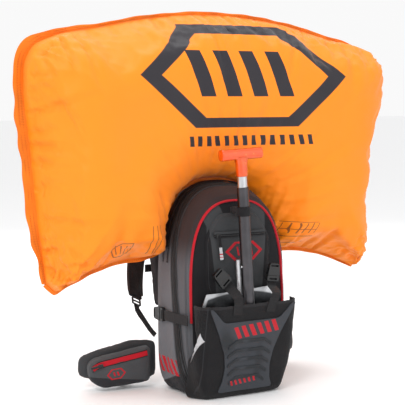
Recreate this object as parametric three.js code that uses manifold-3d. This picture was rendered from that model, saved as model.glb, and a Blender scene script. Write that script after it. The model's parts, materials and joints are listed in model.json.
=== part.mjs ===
// An avalanche airbag backpack with its airbag inflated, as separate named pieces.
//
// Millimetres. +X is to the right seen from the front of the pack, +Y is towards the wearer and +Z is up.
// The origin is the middle of the pack's flat base, on the floor.
//
// The bag is a fabric box split by a slanted zip plane into a rear half, which carries the harness, the
// air cylinder and the airbag, and a front half, which swings open on the bottom edge of that plane and
// carries the pockets and the shovel.

import * as THREE from "three";
import { mergeVertices } from "three/addons/utils/BufferGeometryUtils.js";
import Module from "manifold-3d";

const wasm = await Module();
wasm.setup();

// ---------------------------------------------------------------- driving dimensions

const gap = 0.4; // between pieces that touch on the real object
const seat = 0.8; // under pieces that lie on a curved cloth surface

const bag = {
  halfWidth: 146,
  height: 520,
  waistZ: 250, // height of the widest section, where the bottom curve meets the top arch
  frontY: -90, // front face at the base
  frontLean: 0.035, // how far the front face leans back per millimetre of height
  backY: 84,
  wall: 4,
  frontTop: 495, // height of the arch at the front face, before its edge is rounded
  bottomDip: 4, // the bottom curve reaches this far under the base before it is cut flat
  archPower: 2.7,
  basePower: 7,
  sides: 36,
};

const zip = { baseY: -62, slope: 0.12, gap: 1 };

const airbag = {
  halfWidth: 522,
  topZ: 948,
  cornerTopZ: 880,
  cornerLowX: 452,
  cornerLowZ: 271,
  lowEdgeZ: 328,
  halfThickness: 138,
  edgeRun: 170, // distance from the seam over which the pillow reaches its full thickness
  centreY: 52,
  wingBackY: 20, // how much nearer the front the wing tips are than the middle
  wall: 1.6,
  columns: 34,
  rows: 6,
  packClearance: 9,
};

const neck = { width: 108, depth: 20, y: 50, bottomZ: 467, wall: 2, slotClearance: 4 };

const pocket = {
  halfWidth: 139,
  backY: -60,
  frontY: -108,
  flare: 0.2, // how far the front wall leans out per millimetre of height
  bottomZ: 2,
  topZ: 236,
  wall: 3,
  cornerRadius: 44,
};

const panel = { thickness: 3, ribHeight: 2.4, ribWidth: 8, ribs: 5, ribPitch: 24, ribTopZ: 152 };

const shovel = {
  footX: 3,
  footY: -131.5,
  footZ: 200, // lower end of the stowed shaft
  tilt: 0.05, // to the left, per millimetre of height
  lean: 0.025, // backwards, per millimetre of height
  shaftWidth: 30,
  shaftDepth: 25,
  shaftLength: 317,
  tubeWall: 1.6,
  innerClearance: 0.6,
  innerEngaged: 185, // length of the inner tube that is inside the outer one
  innerShown: 26,
  gripWidth: 114,
  gripRadius: 14,
  stemLength: 44,
  buttonRadius: 3.4,
  buttonZ: 125, // above the shaft's lower end
};

const blade = {
  x: 8,
  y: -104.5,
  z: 17, // foot of the blade
  height: 246,
  topHalfWidth: 94,
  midHalfWidth: 113,
  lowHalfWidth: 112,
  cornerInset: 26,
  wall: 2,
  sideDepth: 9,
  neckWidth: 24,
  neckDepth: 17,
  neckTop: 322,
  neckOverlap: 60,
};

const cylinder = { x: 84 - bag.halfWidth, y: 30, radius: 31, wall: 5, bottomZ: 8, length: 228, neckRadius: 12, boreRadius: 7 };
const valve = { width: 36, depth: 30, height: 34 };
const gauge = { radius: 16, depth: 10 };
const ejector = { x: 0, y: 33, radius: 30, wall: 3.5, bottomZ: 384, topZ: 466, windows: 6 };
const flap = { radius: 22, thickness: 1.6, z: 398 };

const backPanel = { halfWidth: bag.halfWidth - 30, bottomZ: 16, topZ: 448, thickness: 20 };
const bolster = { x: bag.halfWidth - 22, thickness: 26, lowZ: 205, highZ: 436, lowDepth: 30, highDepth: 54 };

const hip = {
  x: bag.halfWidth - 20,
  y: 112.5,
  splay: 12, // degrees forward of straight out
  length: 205,
  thickness: 12,
};
const pouch = { depth: 42, from: 22, to: 188 };

const webbing = { thickness: 1.6, narrow: 20, wide: 25, hip: 38 };
const buckleSize = { width: 34, length: 30, thickness: 11 };
const buckleTravel = 17; // that draws a tongue out of its socket
const strapPad = { thickness: 12, topWidth: 62, endWidth: 46 };

// ---------------------------------------------------------------- materials

const finish = (color, roughness, metalness = 0) => new THREE.MeshStandardMaterial({ color, roughness, metalness });
const materials = {
  greyCloth: finish(0x5b5e62, 0.85),
  lightCloth: finish(0x86898d, 0.85),
  blackCloth: finish(0x1d1c20, 0.85),
  redTape: finish(0xc8202f, 0.6),
  orangeCloth: finish(0xf9942e, 0.55),
  blackPlastic: finish(0x1a1a1c, 0.45),
  foam: finish(0x2b2b2f, 0.9),
  webbing: finish(0x2c2a2d, 0.8),
  moulded: finish(0x4b5156, 0.6),
  silver: finish(0xb9bcc0, 0.3, 1),
  gunmetal: finish(0x4a4b50, 0.35, 1),
  orangePlastic: finish(0xf2622c, 0.25),
  cylinderPaint: finish(0x3a3d42, 0.35, 1),
  brass: finish(0xb08d4a, 0.3, 1),
  reflective: finish(0xc9ccd0, 0.4),
  dial: finish(0xeeeeea, 0.4),
};

// ---------------------------------------------------------------- small tools

const group = new THREE.Group();

const moved = (geometry, x, y, z) => geometry.translate(x, y, z);
const signedPower = (value, power) => Math.sign(value) * Math.abs(value) ** power;
const mix = THREE.MathUtils.lerp;
const degrees = THREE.MathUtils.degToRad;
const vec = (x, y, z) => new THREE.Vector3(x, y, z);

function part(name, geometry, material, parent = group) {
  const mesh = new THREE.Mesh(geometry, material);
  mesh.name = name;
  parent.add(mesh);
  return mesh;
}

// A closed three.js geometry as a manifold-3d solid.
function solidOf(geometry) {
  const bare = geometry.clone();
  for (const name of Object.keys(bare.attributes)) if (name !== "position") bare.deleteAttribute(name);
  const merged = mergeVertices(bare, 1e-4);
  const mesh = new wasm.Mesh({
    numProp: 3,
    vertProperties: new Float32Array(merged.attributes.position.array),
    triVerts: new Uint32Array(merged.index.array),
  });
  return new wasm.Manifold(mesh);
}

function geometryOf(solid) {
  const mesh = solid.getMesh();
  const geometry = new THREE.BufferGeometry();
  geometry.setAttribute("position", new THREE.BufferAttribute(new Float32Array(mesh.vertProperties), 3));
  geometry.setIndex(new THREE.BufferAttribute(new Uint32Array(mesh.triVerts), 1));
  return geometry;
}

const cut = (body, ...tools) =>
  geometryOf(tools.reduce((left, tool) => left.subtract(solidOf(tool)), solidOf(body)));
const join = (first, ...others) =>
  geometryOf(others.reduce((sum, other) => sum.add(solidOf(other)), solidOf(first)));
const keep = (body, region) => geometryOf(solidOf(body).intersect(solidOf(region)));

// A closed skin over rings of equal length, with flat or fanned ends.
function loft(rings) {
  const count = rings[0].length;
  const points = rings.flat();
  const middle = (ring) => ring.reduce((sum, p) => sum.add(p), vec(0, 0, 0)).divideScalar(count);
  const first = points.length;
  points.push(middle(rings[0]), middle(rings.at(-1)));
  const faces = [];
  for (let r = 0; r + 1 < rings.length; r++)
    for (let i = 0; i < count; i++) {
      const j = (i + 1) % count;
      const a = r * count;
      const b = a + count;
      faces.push(a + i, a + j, b + j, a + i, b + j, b + i);
    }
  const last = (rings.length - 1) * count;
  for (let i = 0; i < count; i++) {
    const j = (i + 1) % count;
    faces.push(first, j, i, first + 1, last + i, last + j);
  }
  return outward(points, faces);
}

// A geometry from points and triangles, turned round if its faces point inwards.
function outward(points, faces) {
  const volume = (index) => {
    let sum = 0;
    for (let i = 0; i < index.length; i += 3)
      sum += points[index[i]].dot(points[index[i + 1]].clone().cross(points[index[i + 2]]));
    return sum;
  };
  const index = faces.slice();
  if (volume(index) < 0)
    for (let i = 0; i < index.length; i += 3) [index[i], index[i + 1]] = [index[i + 1], index[i]];
  return new THREE.BufferGeometry().setFromPoints(points).setIndex(index);
}

// A flat outline in x and z, given thickness along y: from y towards the front by depth.
function frontPlate(outline, y, depth, bevel = 0) {
  const shape = outline instanceof THREE.Shape ? outline : new THREE.Shape(outline);
  const geometry = new THREE.ExtrudeGeometry(shape, {
    depth: depth - 2 * bevel,
    bevelEnabled: bevel > 0,
    bevelSize: bevel,
    bevelThickness: bevel,
    bevelOffset: -bevel,
    bevelSegments: 2,
    curveSegments: 10,
  });
  return geometry.rotateX(Math.PI / 2).translate(0, y - bevel, 0);
}

// A polygon whose corners are rounded, as points. Each corner is [x, z] or [x, z, its own radius].
function rounded(corners, radius, steps = 4) {
  const points = [];
  corners.forEach(([x, z, own], i) => {
    const corner = new THREE.Vector2(x, z);
    const before = new THREE.Vector2(...corners.at(i - 1).slice(0, 2)).sub(corner);
    const after = new THREE.Vector2(...corners[(i + 1) % corners.length].slice(0, 2)).sub(corner);
    const reach = Math.min(own ?? radius, before.length() / 2.01, after.length() / 2.01);
    const start = corner.clone().add(before.setLength(reach));
    const end = corner.clone().add(after.setLength(reach));
    const curve = new THREE.QuadraticBezierCurve(start, corner, end);
    points.push(...curve.getPoints(steps));
  });
  return points;
}

const box = (width, depth, height, x, y, z) => moved(new THREE.BoxGeometry(width, depth, height), x, y, z);

function ellipse(width, depth) {
  const shape = new THREE.Shape();
  shape.absellipse(0, 0, width / 2, depth / 2, 0, 2 * Math.PI);
  return shape;
}

// An oval tube or rod standing on z = 0.
function ovalTube(width, depth, length, wall = 0) {
  const shape = ellipse(width, depth);
  if (wall > 0) shape.holes.push(ellipse(width - 2 * wall, depth - 2 * wall));
  return new THREE.ExtrudeGeometry(shape, { depth: length, bevelEnabled: false, curveSegments: 10 });
}

function roundTube(points, radius, steps, sides = 8) {
  const circle = new THREE.Shape();
  circle.setFromPoints(
    Array.from({ length: sides }, (_, i) => {
      const angle = (2 * Math.PI * i) / sides;
      return new THREE.Vector2(radius * Math.cos(angle), radius * Math.sin(angle));
    }),
  );
  const path = new THREE.CatmullRomCurve3(points);
  return new THREE.ExtrudeGeometry(circle, { extrudePath: path, steps, bevelEnabled: false });
}

// A flat band along a curve. across(t) is the direction of its width, and width(t) that width, for t from 0 to 1.
// Its edges are square, or bevelled where edge is given.
function band(points, width, thickness, across, steps, edge = 0) {
  const curve = new THREE.CatmullRomCurve3(points);
  const widthAt = typeof width === "function" ? width : () => width;
  const rings = [];
  for (let i = 0; i <= steps; i++) {
    const t = i / steps;
    const centre = curve.getPointAt(t);
    const along = curve.getTangentAt(t);
    const side = across(t).clone();
    side.addScaledVector(along, -side.dot(along)).normalize();
    const up = along.clone().cross(side);
    const half = widthAt(t) / 2;
    const at = (w, h) => centre.clone().addScaledVector(side, w).addScaledVector(up, h);
    const h = thickness / 2;
    if (edge === 0) {
      rings.push([at(-half, -h), at(half, -h), at(half, h), at(-half, h)]);
      continue;
    }
    rings.push([
      at(-half, -h + edge),
      at(-half + edge, -h),
      at(half - edge, -h),
      at(half, -h + edge),
      at(half, h - edge),
      at(half - edge, h),
      at(-half + edge, h),
      at(-half, h - edge),
    ]);
  }
  return loft(rings);
}

const mirrored = (point) => vec(-point.x, point.y, point.z);

// Places an object so that its local x lies along across and its local z along up, as nearly as they allow.
function orient(object, position, across, up) {
  const z = up.clone().normalize();
  const y = z.clone().cross(across).normalize();
  const x = y.clone().cross(z);
  object.position.copy(position);
  object.quaternion.setFromRotationMatrix(new THREE.Matrix4().makeBasis(x, y, z));
}

// ---------------------------------------------------------------- the bag

const frontAt = (z) => bag.frontY + bag.frontLean * z;

// The outline of the bag seen from the front: a superellipse, squarer below the waist than above it.
function bagOutline(inset, top, bottom) {
  const points = [];
  for (let i = 0; i < bag.sides; i++) {
    const angle = (2 * Math.PI * i) / bag.sides;
    const c = Math.cos(angle);
    const s = Math.sin(angle);
    const power = 2 / (s >= 0 ? bag.archPower : bag.basePower);
    const rise = s >= 0 ? top - inset - bag.waistZ : bag.waistZ - bottom - inset;
    points.push([(bag.halfWidth - inset) * signedPower(c, power), bag.waistZ + rise * signedPower(s, power)]);
  }
  return points;
}

// Rings from front to back: [share of the depth, how far the edge is rounded in].
const bagStations = [
  [0, 24],
  [0.03, 11],
  [0.14, 1.5],
  [0.6, 0],
  [0.88, 3],
  [0.97, 12],
  [1, 26],
];

// The bag's form moved in by offset, or out where offset is negative.
function bagForm(offset) {
  const bottom = offset > 0 ? offset : offset - bag.bottomDip;
  const rings = bagStations.map(([share, roundedIn]) => {
    const top = mix(bag.frontTop, bag.height, Math.min(1, share / 0.6)) - offset;
    const outline = bagOutline(roundedIn, top, bottom);
    return outline.map(([x, z]) => {
      const width = (bag.halfWidth - offset) / bag.halfWidth;
      return vec(x * width, mix(frontAt(z) + offset, bag.backY - offset, share), z);
    });
  });
  return loft(rings);
}

// Everything in front of the zip plane (side -1) or behind it (side 1).
function besideZip(side) {
  const reach = 1400;
  const region = box(reach, reach, 2 * reach, 0, (side * (reach + zip.gap)) / 2, 0);
  return region.rotateX(-Math.atan(zip.slope)).translate(0, zip.baseY, 0);
}

const belowFloor = () => box(600, 600, 100, 0, 0, -50);

function bagHalf(side) {
  const shell = cut(bagForm(0), bagForm(bag.wall), belowFloor());
  return keep(shell, besideZip(side));
}

const neckSlot = () =>
  moved(
    ovalTube(
      neck.width + 2 * neck.slotClearance,
      neck.depth + 2 * neck.slotClearance,
      bag.height - neck.bottomZ + 27,
    ),
    0,
    neck.y,
    neck.bottomZ,
  );

const cablePort = { x: -50, z: 463, radius: 6 };

part("front_shell", bagHalf(-1), materials.greyCloth);
part(
  "rear_shell",
  cut(
    bagHalf(1),
    neckSlot(),
    new THREE.CylinderGeometry(cablePort.radius, cablePort.radius, 60, 12).translate(
      cablePort.x,
      bag.backY,
      cablePort.z,
    ),
  ),
  materials.lightCloth,
);

// A stiff sheet that keeps the back flat, just inside the rear wall.
const sheetThickness = 2;
function frameSheet() {
  const outline = bagOutline(34, bag.height - 8, 8).map(([x, z]) => new THREE.Vector2(x, z));
  const sheet = frontPlate(outline, bag.backY - bag.wall - 4, sheetThickness);
  return cut(sheet, box(60, 40, 60, cablePort.x, bag.backY, cablePort.z + 10));
}
part("frame_sheet", frameSheet(), materials.blackPlastic);

// ---------------------------------------------------------------- back panel and harness

// Foam against the wearer's back, with an open air channel down the middle and a bolster up each side.
function backFoam() {
  const { halfWidth, bottomZ, topZ, thickness } = backPanel;
  const outline = rounded(
    [
      [-halfWidth, bottomZ],
      [halfWidth, bottomZ],
      [halfWidth, topZ - 90],
      [halfWidth - 40, topZ],
      [40 - halfWidth, topZ],
      [-halfWidth, topZ - 90],
    ],
    30,
  );
  const slab = frontPlate(outline, bag.backY + gap + thickness, thickness, 4);
  const channel = box(34, 20, topZ, 0, bag.backY + thickness + 6, topZ / 2 + 110);
  const bolsters = [-1, 1].map((side) => {
    const { lowZ, highZ, lowDepth, highDepth } = bolster;
    const start = bag.backY + gap;
    const profile = rounded(
      [
        [start, lowZ],
        [start + lowDepth, lowZ],
        [start + highDepth, mix(lowZ, highZ, 0.55)],
        [start + highDepth, highZ - 20],
        [start + 20, highZ],
        [start, highZ],
      ],
      12,
    );
    const plate = new THREE.ExtrudeGeometry(new THREE.Shape(profile), {
      depth: bolster.thickness,
      bevelEnabled: false,
    });
    // The profile is drawn in y and z, and its thickness runs along x.
    plate.applyMatrix4(new THREE.Matrix4().set(0, 0, 1, 0, 1, 0, 0, 0, 0, 1, 0, 0, 0, 0, 0, 1));
    return moved(plate, side * bolster.x - bolster.thickness / 2, 0, 0);
  });
  return join(cut(slab, channel), ...bolsters);
}
part("back_panel", backFoam(), materials.foam);

// Left shoulder strap, from its anchor over the shoulder to the adjuster.
const strapRoute = [
  vec(-58, 113, 418),
  vec(-60, 140, 458),
  vec(-70, 178, 468),
  vec(-88, 208, 430),
  vec(-106, 221, 370),
  vec(-130, 212, 310),
  vec(-152, 178, 255),
  vec(-163, 150, 222),
];
const strapEnd = strapRoute.at(-1);
const strapDrop = strapEnd.clone().sub(strapRoute.at(-2)).normalize();
const adjusterSize = { width: 30, length: 22, thickness: 4, bar: 3, side: 4 };
const belowStrap = (distance) => strapEnd.clone().addScaledVector(strapDrop, distance);
const webbingRoute = [
  belowStrap(adjusterSize.length + 5 * gap),
  belowStrap(adjusterSize.length + 12),
  vec(-156, 128, 172),
  vec(-138, 116, 140),
  vec(-128, 111, 127),
];
const strapWidth = (t) => mix(strapPad.topWidth, strapPad.endWidth, t);

// A frame with two openings that the webbing would thread through.
function adjusterForm() {
  const { width, length, thickness, bar, side } = adjusterSize;
  const corners = [
    [-width / 2, -length / 2],
    [width / 2, -length / 2],
    [width / 2, length / 2],
    [-width / 2, length / 2],
  ];
  const opening = (length - 3 * bar) / 2;
  const holes = [-1, 1].map((way) =>
    box(width - 2 * side, 2 * thickness, opening, 0, 0, (way * (opening + bar)) / 2),
  );
  return cut(frontPlate(rounded(corners, 4, 2), thickness / 2, thickness), ...holes);
}

function harnessSide(name, flip) {
  const route = strapRoute.map(flip);
  const acrossStrap = (t) => flip(vec(1, mix(0, 0.5, t * t), 0));
  const pad = band(route, strapWidth, strapPad.thickness, acrossStrap, 20, 0.3 * strapPad.thickness);
  part(`${name}_shoulder_strap`, pad, materials.foam);

  const webbingLine = webbingRoute.map(flip);
  const acrossWebbing = () => flip(vec(1, 0.6, 0));
  part(
    `${name}_strap_webbing`,
    band(webbingLine, webbing.narrow, webbing.thickness, acrossWebbing, 8),
    materials.webbing,
  );

  const across = flip(vec(1, 0.5, 0));
  const centre = flip(belowStrap(adjusterSize.length / 2 + 1.5 * gap));
  const up = flip(strapDrop).negate();
  orient(part(`${name}_strap_adjuster`, adjusterForm(), materials.blackPlastic), centre, across, up);
}
harnessSide("left", (p) => p.clone());
harnessSide("right", mirrored);

// ---------------------------------------------------------------- buckles

// The socket half stands with its mouth down. x is across the strap, z along it, and its middle is at 0.
function buckleSocket({ width, length, thickness } = buckleSize) {
  const outline = rounded(
    [
      [-width / 2, -length / 2, 2],
      [width / 2, -length / 2, 2],
      [width / 2 - 3, length / 2],
      [3 - width / 2, length / 2],
    ],
    6,
    2,
  );
  const body = frontPlate(outline, thickness / 2, thickness);
  const mouth = box(width - 7, thickness - 4, length * 0.62, 0, 0, -length / 2 + length * 0.31 - 0.5);
  const slot = box(width - 12, thickness + 2, 4, 0, 0, length / 2 - 6);
  const windows = [-1, 1].map((side) => box(10, thickness - 5, length * 0.3, (side * width) / 2, 0, -length * 0.08));
  return cut(body, mouth, slot, ...windows);
}

// The tongue half: two prongs that reach up into the socket, and a bar for the webbing below it.
function buckleTongue({ width, length, thickness } = buckleSize) {
  const deep = thickness - 5.2;
  const reach = length * 0.52;
  const base = frontPlate(
    rounded(
      [
        [-width / 2, -length / 2 - 14, 3],
        [width / 2, -length / 2 - 14, 3],
        [width / 2, -length / 2 - 0.6, 2],
        [-width / 2, -length / 2 - 0.6, 2],
      ],
      3,
      3,
    ),
    thickness / 2 - 1,
    thickness - 2,
  );
  const prongs = [-1, 1].map((side) =>
    box(4.5, deep, reach + 3, (side * (width - 14)) / 2, 0, -length / 2 - 1 + reach / 2 - 1),
  );
  const guide = box(3, deep, reach * 0.7 + 3, 0, 0, -length / 2 - 1 + reach * 0.35 - 1);
  const slot = box(width - 12, thickness + 2, 4.4, 0, 0, -length / 2 - 8.5);
  return cut(join(base, ...prongs, guide), slot);
}

// Both halves of a closed buckle. across is the direction of the strap's width, and up points from the
// tongue's side to the socket's.
function buckle(name, position, across, up, size = buckleSize) {
  const holder = new THREE.Group();
  orient(holder, position, across, up);
  group.add(holder);
  part(`${name}_buckle_socket`, buckleSocket(size), materials.blackPlastic, holder);
  part(`${name}_buckle_tongue`, buckleTongue(size), materials.blackPlastic, holder);
}

// ---------------------------------------------------------------- sternum strap

const sternum = { y: 207, z: 286, reach: 107 };
const releaseTravel = 17; // how far a buckle's tongue slides out of its socket
function sternumStrap() {
  const { y, z, reach } = sternum;
  const upright = () => vec(0, 0, 1);
  const run = (from, to) =>
    band([vec(from, y, z), vec((from + to) / 2, y, z), vec(to, y, z)], webbing.narrow, webbing.thickness, upright, 4);
  const size = { width: 30, length: 28, thickness: 10 };
  part("left_sternum_webbing", run(-reach, -size.length / 2 - 0.5), materials.webbing);
  part("right_sternum_webbing", run(size.length / 2 + 15, reach - releaseTravel), materials.webbing);
  buckle("sternum", vec(0, y, z), vec(0, 0, 1), vec(-1, 0, 0), size);
}
sternumStrap();

// ---------------------------------------------------------------- side compression straps

const sideStrap = { z: 197, socketY: 47, x: bag.halfWidth + 7.5, frontY: -93 };
function compressionStrap(name, side) {
  const { z, socketY, x, frontY } = sideStrap;
  const { length } = buckleSize;
  const tongueEnd = socketY - length / 2 - 15;
  const route = [
    vec(side * x, tongueEnd, z),
    vec(side * x, -10, z),
    vec(side * (x - 2), -50, z),
    vec(side * (x - 5), frontY, z + 1),
  ];
  const form = band(route, webbing.wide, webbing.thickness, () => vec(0, 0, 1), 8);
  part(`${name}_side_webbing`, form, materials.webbing);
  buckle(`${name}_side`, vec(side * x, socketY, z), vec(0, 0, 1), vec(0, 1, 0));
}
compressionStrap("left", -1);
compressionStrap("right", 1);

// ---------------------------------------------------------------- hip belt

function hipWing(name, side) {
  const holder = new THREE.Group();
  holder.position.set(side * hip.x, hip.y, 0);
  holder.rotation.z = side < 0 ? Math.PI - degrees(hip.splay) : degrees(hip.splay);
  group.add(holder);

  const outline = rounded(
    [
      [0, 22],
      [0, 116],
      [70, 122],
      [150, 104],
      [hip.length, 84],
      [hip.length, 34],
      [130, 12],
      [40, 14],
    ],
    16,
    2,
  );
  part(`${name}_hip_wing`, frontPlate(outline, hip.thickness / 2, hip.thickness, 3), materials.foam, holder);

  // The belt webbing is folded back on the wearer's side of the wing, and ends in its half of the buckle.
  const inner = side < 0 ? -1 : 1;
  const away = (hip.thickness / 2 + 3.5) * inner;
  const upright = () => vec(0, 0, 1);
  const route = [vec(180, away, 56), vec(150, away, 54), vec(126, away, 46), vec(106, away, 38)];
  part(`${name}_hip_webbing`, band(route, webbing.hip, webbing.thickness, upright, 8), materials.webbing, holder);
  return { holder, inner, away };
}

const leftHip = hipWing("left", -1);
const rightHip = hipWing("right", 1);

const hipBuckle = { width: 46, length: 40, thickness: 12 };
function hipBuckleHalf(name, geometry, { holder, inner }) {
  const half = part(name, geometry, materials.blackPlastic, holder);
  half.position.set(62, inner * (hip.thickness / 2 + hipBuckle.thickness / 2 + 0.8), 25.5);
  return half;
}
hipBuckleHalf("hip_buckle_tongue", buckleTongue(hipBuckle).rotateY(-Math.PI / 2), leftHip);
hipBuckleHalf("hip_buckle_socket", buckleSocket(hipBuckle).rotateY(Math.PI / 2), rightHip);

// The zipped pouch on the left wing. Its outer end is lower and smaller.
const pouchOutline = (inset) =>
  rounded(
    [
      [pouch.from + inset, 16 + inset],
      [pouch.from + inset, 112 - inset],
      [pouch.to - 16, 84 - inset],
      [pouch.to - inset, 66 - inset],
      [pouch.to - 6 - inset, 24 + inset],
      [pouch.to - 40, 5 + inset],
    ],
    16,
    3,
  );
const pouchSlope = (112 - 84) / (pouch.to - 16 - pouch.from);
function hipPouch() {
  const start = hip.thickness / 2 + gap;
  const levels = [
    [0, 2],
    [0.15, 0],
    [0.75, 1],
    [0.93, 6],
    [1, 14],
  ];
  const rings = levels.map(([share, inset]) =>
    pouchOutline(inset).map((p) => vec(p.x, start + share * pouch.depth, p.y)),
  );
  part("hip_pouch", loft(rings), materials.greyCloth, leftHip.holder);

  const face = start + pouch.depth + gap;
  const zipTape = 1.8; // room under the slider for the zip's tape
  const run = [pouch.from + 18, pouch.to - 22];
  const height = (x) => 94 - pouchSlope * (x - pouch.from);
  const slider = new THREE.Group();
  slider.position.set(run[1] - 9, face + zipTape, height(run[1] - 9));
  slider.rotation.y = Math.atan(pouchSlope);
  leftHip.holder.add(slider);
  const body = frontPlate(
    rounded(
      [
        [-7, -4],
        [7, -4],
        [7, 4],
        [-7, 4],
      ],
      2,
      2,
    ),
    4,
    4,
    0.8,
  );
  const tab = frontPlate(
    rounded(
      [
        [4, -3],
        [26, -3],
        [26, 3],
        [4, 3],
      ],
      2,
      2,
    ),
    4.6,
    1.6,
  );
  part("hip_pouch_slider", join(body, tab), materials.blackPlastic, slider);
}
hipPouch();

// ---------------------------------------------------------------- front face: piping, pocket, zip, loop and straps

// Lies in the plane of the front face: x across, -y outwards, z up the face.
const face = new THREE.Group();
face.position.set(0, bag.frontY, 0);
face.rotation.x = -Math.atan(bag.frontLean);
group.add(face);

// The red edge that runs up one side, over the top and down the other.
function piping() {
  const lowest = -0.17 * Math.PI;
  const turns = 40;
  const outline = [];
  for (let i = 0; i <= turns; i++) {
    const angle = mix(lowest, Math.PI - lowest, i / turns);
    const s = Math.sin(angle);
    const power = 2 / (s >= 0 ? bag.archPower : bag.basePower);
    const rise = s >= 0 ? bag.frontTop - 27 - bag.waistZ : bag.waistZ - 27;
    const x = (bag.halfWidth - 27) * signedPower(Math.cos(angle), power);
    outline.push(vec(x, -3.4, bag.waistZ + rise * signedPower(s, power)));
  }
  const centre = vec(0, 0, bag.waistZ);
  const curve = new THREE.CatmullRomCurve3(outline);
  const across = (t) => curve.getPointAt(t).sub(centre).setY(0).normalize();
  return band(outline, 9, 4.4, across, 48);
}
part("front_piping", piping(), materials.redTape, face);

const frontPocket = { left: 54 - bag.halfWidth, right: bag.halfWidth - 54, low: 244, high: 452, depth: 9 };
function frontPocketForm() {
  const outline = (inset) =>
    rounded(
      [
        [frontPocket.left + inset, frontPocket.low + inset],
        [frontPocket.right - inset, frontPocket.low + inset],
        [frontPocket.right - inset, frontPocket.high - 60],
        [frontPocket.right - 30 - inset, frontPocket.high - inset],
        [frontPocket.left + 30 + inset, frontPocket.high - inset],
        [frontPocket.left + inset, frontPocket.high - 60],
      ],
      18,
    );
  const levels = [
    [0, 0],
    [0.4, 1],
    [0.8, 5],
    [1, 12],
  ];
  return loft(
    levels.map(([share, inset]) => outline(inset).map((p) => vec(p.x, -seat - share * frontPocket.depth, p.y))),
  );
}
part("front_pocket", frontPocketForm(), materials.greyCloth, face);

const pocketFaceY = -seat - frontPocket.depth - gap;
const frontZip = { left: -72, right: 74, z: 398, height: 9, thickness: 1.2 };
part(
  "front_pocket_zip",
  frontPlate(
    rounded(
      [
        [frontZip.left, frontZip.z - frontZip.height / 2],
        [frontZip.right, frontZip.z - frontZip.height / 2],
        [frontZip.right, frontZip.z + frontZip.height / 2],
        [frontZip.left, frontZip.z + frontZip.height / 2],
      ],
      2,
      2,
    ),
    pocketFaceY,
    frontZip.thickness,
  ),
  materials.blackCloth,
  face,
);

const zipFaceY = pocketFaceY - frontZip.thickness - gap;
const zipStart = frontZip.left + 12;
part(
  "front_zip_slider",
  frontPlate(
    rounded(
      [
        [zipStart - 6, frontZip.z - 5],
        [zipStart + 6, frontZip.z - 4],
        [zipStart + 6, frontZip.z + 4],
        [zipStart - 6, frontZip.z + 5],
      ],
      2,
      2,
    ),
    zipFaceY,
    4,
    0.8,
  ),
  materials.blackPlastic,
  face,
);

// The pull hangs from the slider by its upper end.
const pull = { width: 9, length: 60, thickness: 2 };
const pullForm = frontPlate(
  rounded(
    [
      [-2.5, 0.6],
      [2.5, 0.6],
      [pull.width / 2, -pull.length],
      [-pull.width / 2, -pull.length],
    ],
    2,
    2,
  ),
  0,
  pull.thickness,
);
const pullMesh = part("front_zip_pull", pullForm, materials.reflective, face);
pullMesh.position.set(zipStart, zipFaceY - 4 - gap, frontZip.z + 1);
pullMesh.rotation.y = -degrees(6);

// ---------------------------------------------------------------- the shovel pocket

const pocketFrontAt = (z) => pocket.frontY - pocket.flare * z;

// The pocket's plan at one height, moved in by inset, and open or closed at the back.
function pocketRing(z, inset, backY) {
  const half = pocket.halfWidth - inset;
  const front = pocketFrontAt(z) + inset;
  const radius = pocket.cornerRadius;
  return rounded(
    [
      [-half, backY, 0.5],
      [-half, front, radius],
      [half, front, radius],
      [half, backY, 0.5],
    ],
    radius,
    7,
  ).map((p) => vec(p.x, p.y, z));
}

function pocketForm(inset, low, high, backY) {
  const rise = high - low;
  const foot = 14;
  const rings = [
    pocketRing(low, inset + 8, backY),
    pocketRing(low + foot * 0.4, inset + 2.5, backY),
    pocketRing(low + foot, inset, backY),
    pocketRing(low + rise / 2, inset, backY),
    pocketRing(high, inset, backY),
  ];
  return loft(rings);
}

// The wall is cut away at both sides, so that the blade's edge shows and the top is held by an arm.
const sideCut = [
  [-30, 58],
  [-116, 134],
  [-116, 150],
  [-104, 260],
  [-30, 260],
];
function pocketBody() {
  const outer = pocketForm(0, pocket.bottomZ, pocket.topZ, pocket.backY);
  const inner = pocketForm(pocket.wall, pocket.bottomZ + pocket.wall, pocket.topZ + 20, pocket.backY + 40);
  const profile = new THREE.Shape(sideCut.map(([y, z]) => new THREE.Vector2(y, z)));
  const side = new THREE.ExtrudeGeometry(profile, { depth: 400, bevelEnabled: false });
  side.applyMatrix4(new THREE.Matrix4().set(0, 0, 1, -200, 1, 0, 0, 0, 0, 1, 0, 0, 0, 0, 0, 1));
  return cut(outer, inner, bagForm(-seat), side);
}
part("shovel_pocket", pocketBody(), materials.blackCloth);

// The moulded panel on the pocket's front: waisted, notched at the top, with raised chevron ribs.
const pocketPanel = new THREE.Group();
pocketPanel.position.set(0, pocket.frontY, 0);
pocketPanel.rotation.x = Math.atan(pocket.flare);
group.add(pocketPanel);

function mouldedPanel() {
  const half = [
    [92, 18],
    [74, 44],
    [66, 78],
    [70, 116],
    [90, 168],
    [122, 236],
    [112, 234],
    [78, 198],
  ];
  const outline = rounded([...half, ...half.map(([x, z]) => [-x, z]).reverse()], 10, 3);
  const sheet = frontPlate(outline, -gap, panel.thickness);
  const ribs = Array.from({ length: panel.ribs }, (_, i) => {
    const z = panel.ribTopZ - i * panel.ribPitch * 0.98;
    const flat = 40 - i * 1.5;
    const end = Math.min(62, 64 - i * 2);
    const drop = 14;
    const w = panel.ribWidth;
    const chevron = [
      [-end, z - drop - w],
      [-flat, z - w],
      [flat, z - w],
      [end, z - drop - w],
      [end, z - drop],
      [flat, z],
      [-flat, z],
      [-end, z - drop],
    ].map(([x, height]) => new THREE.Vector2(x, height));
    return frontPlate(chevron, -gap - panel.thickness + 1, panel.ribHeight + 1, 0.9);
  });
  return join(sheet, ...ribs);
}
part("shovel_pocket_panel", mouldedPanel(), materials.moulded, pocketPanel);

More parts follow.
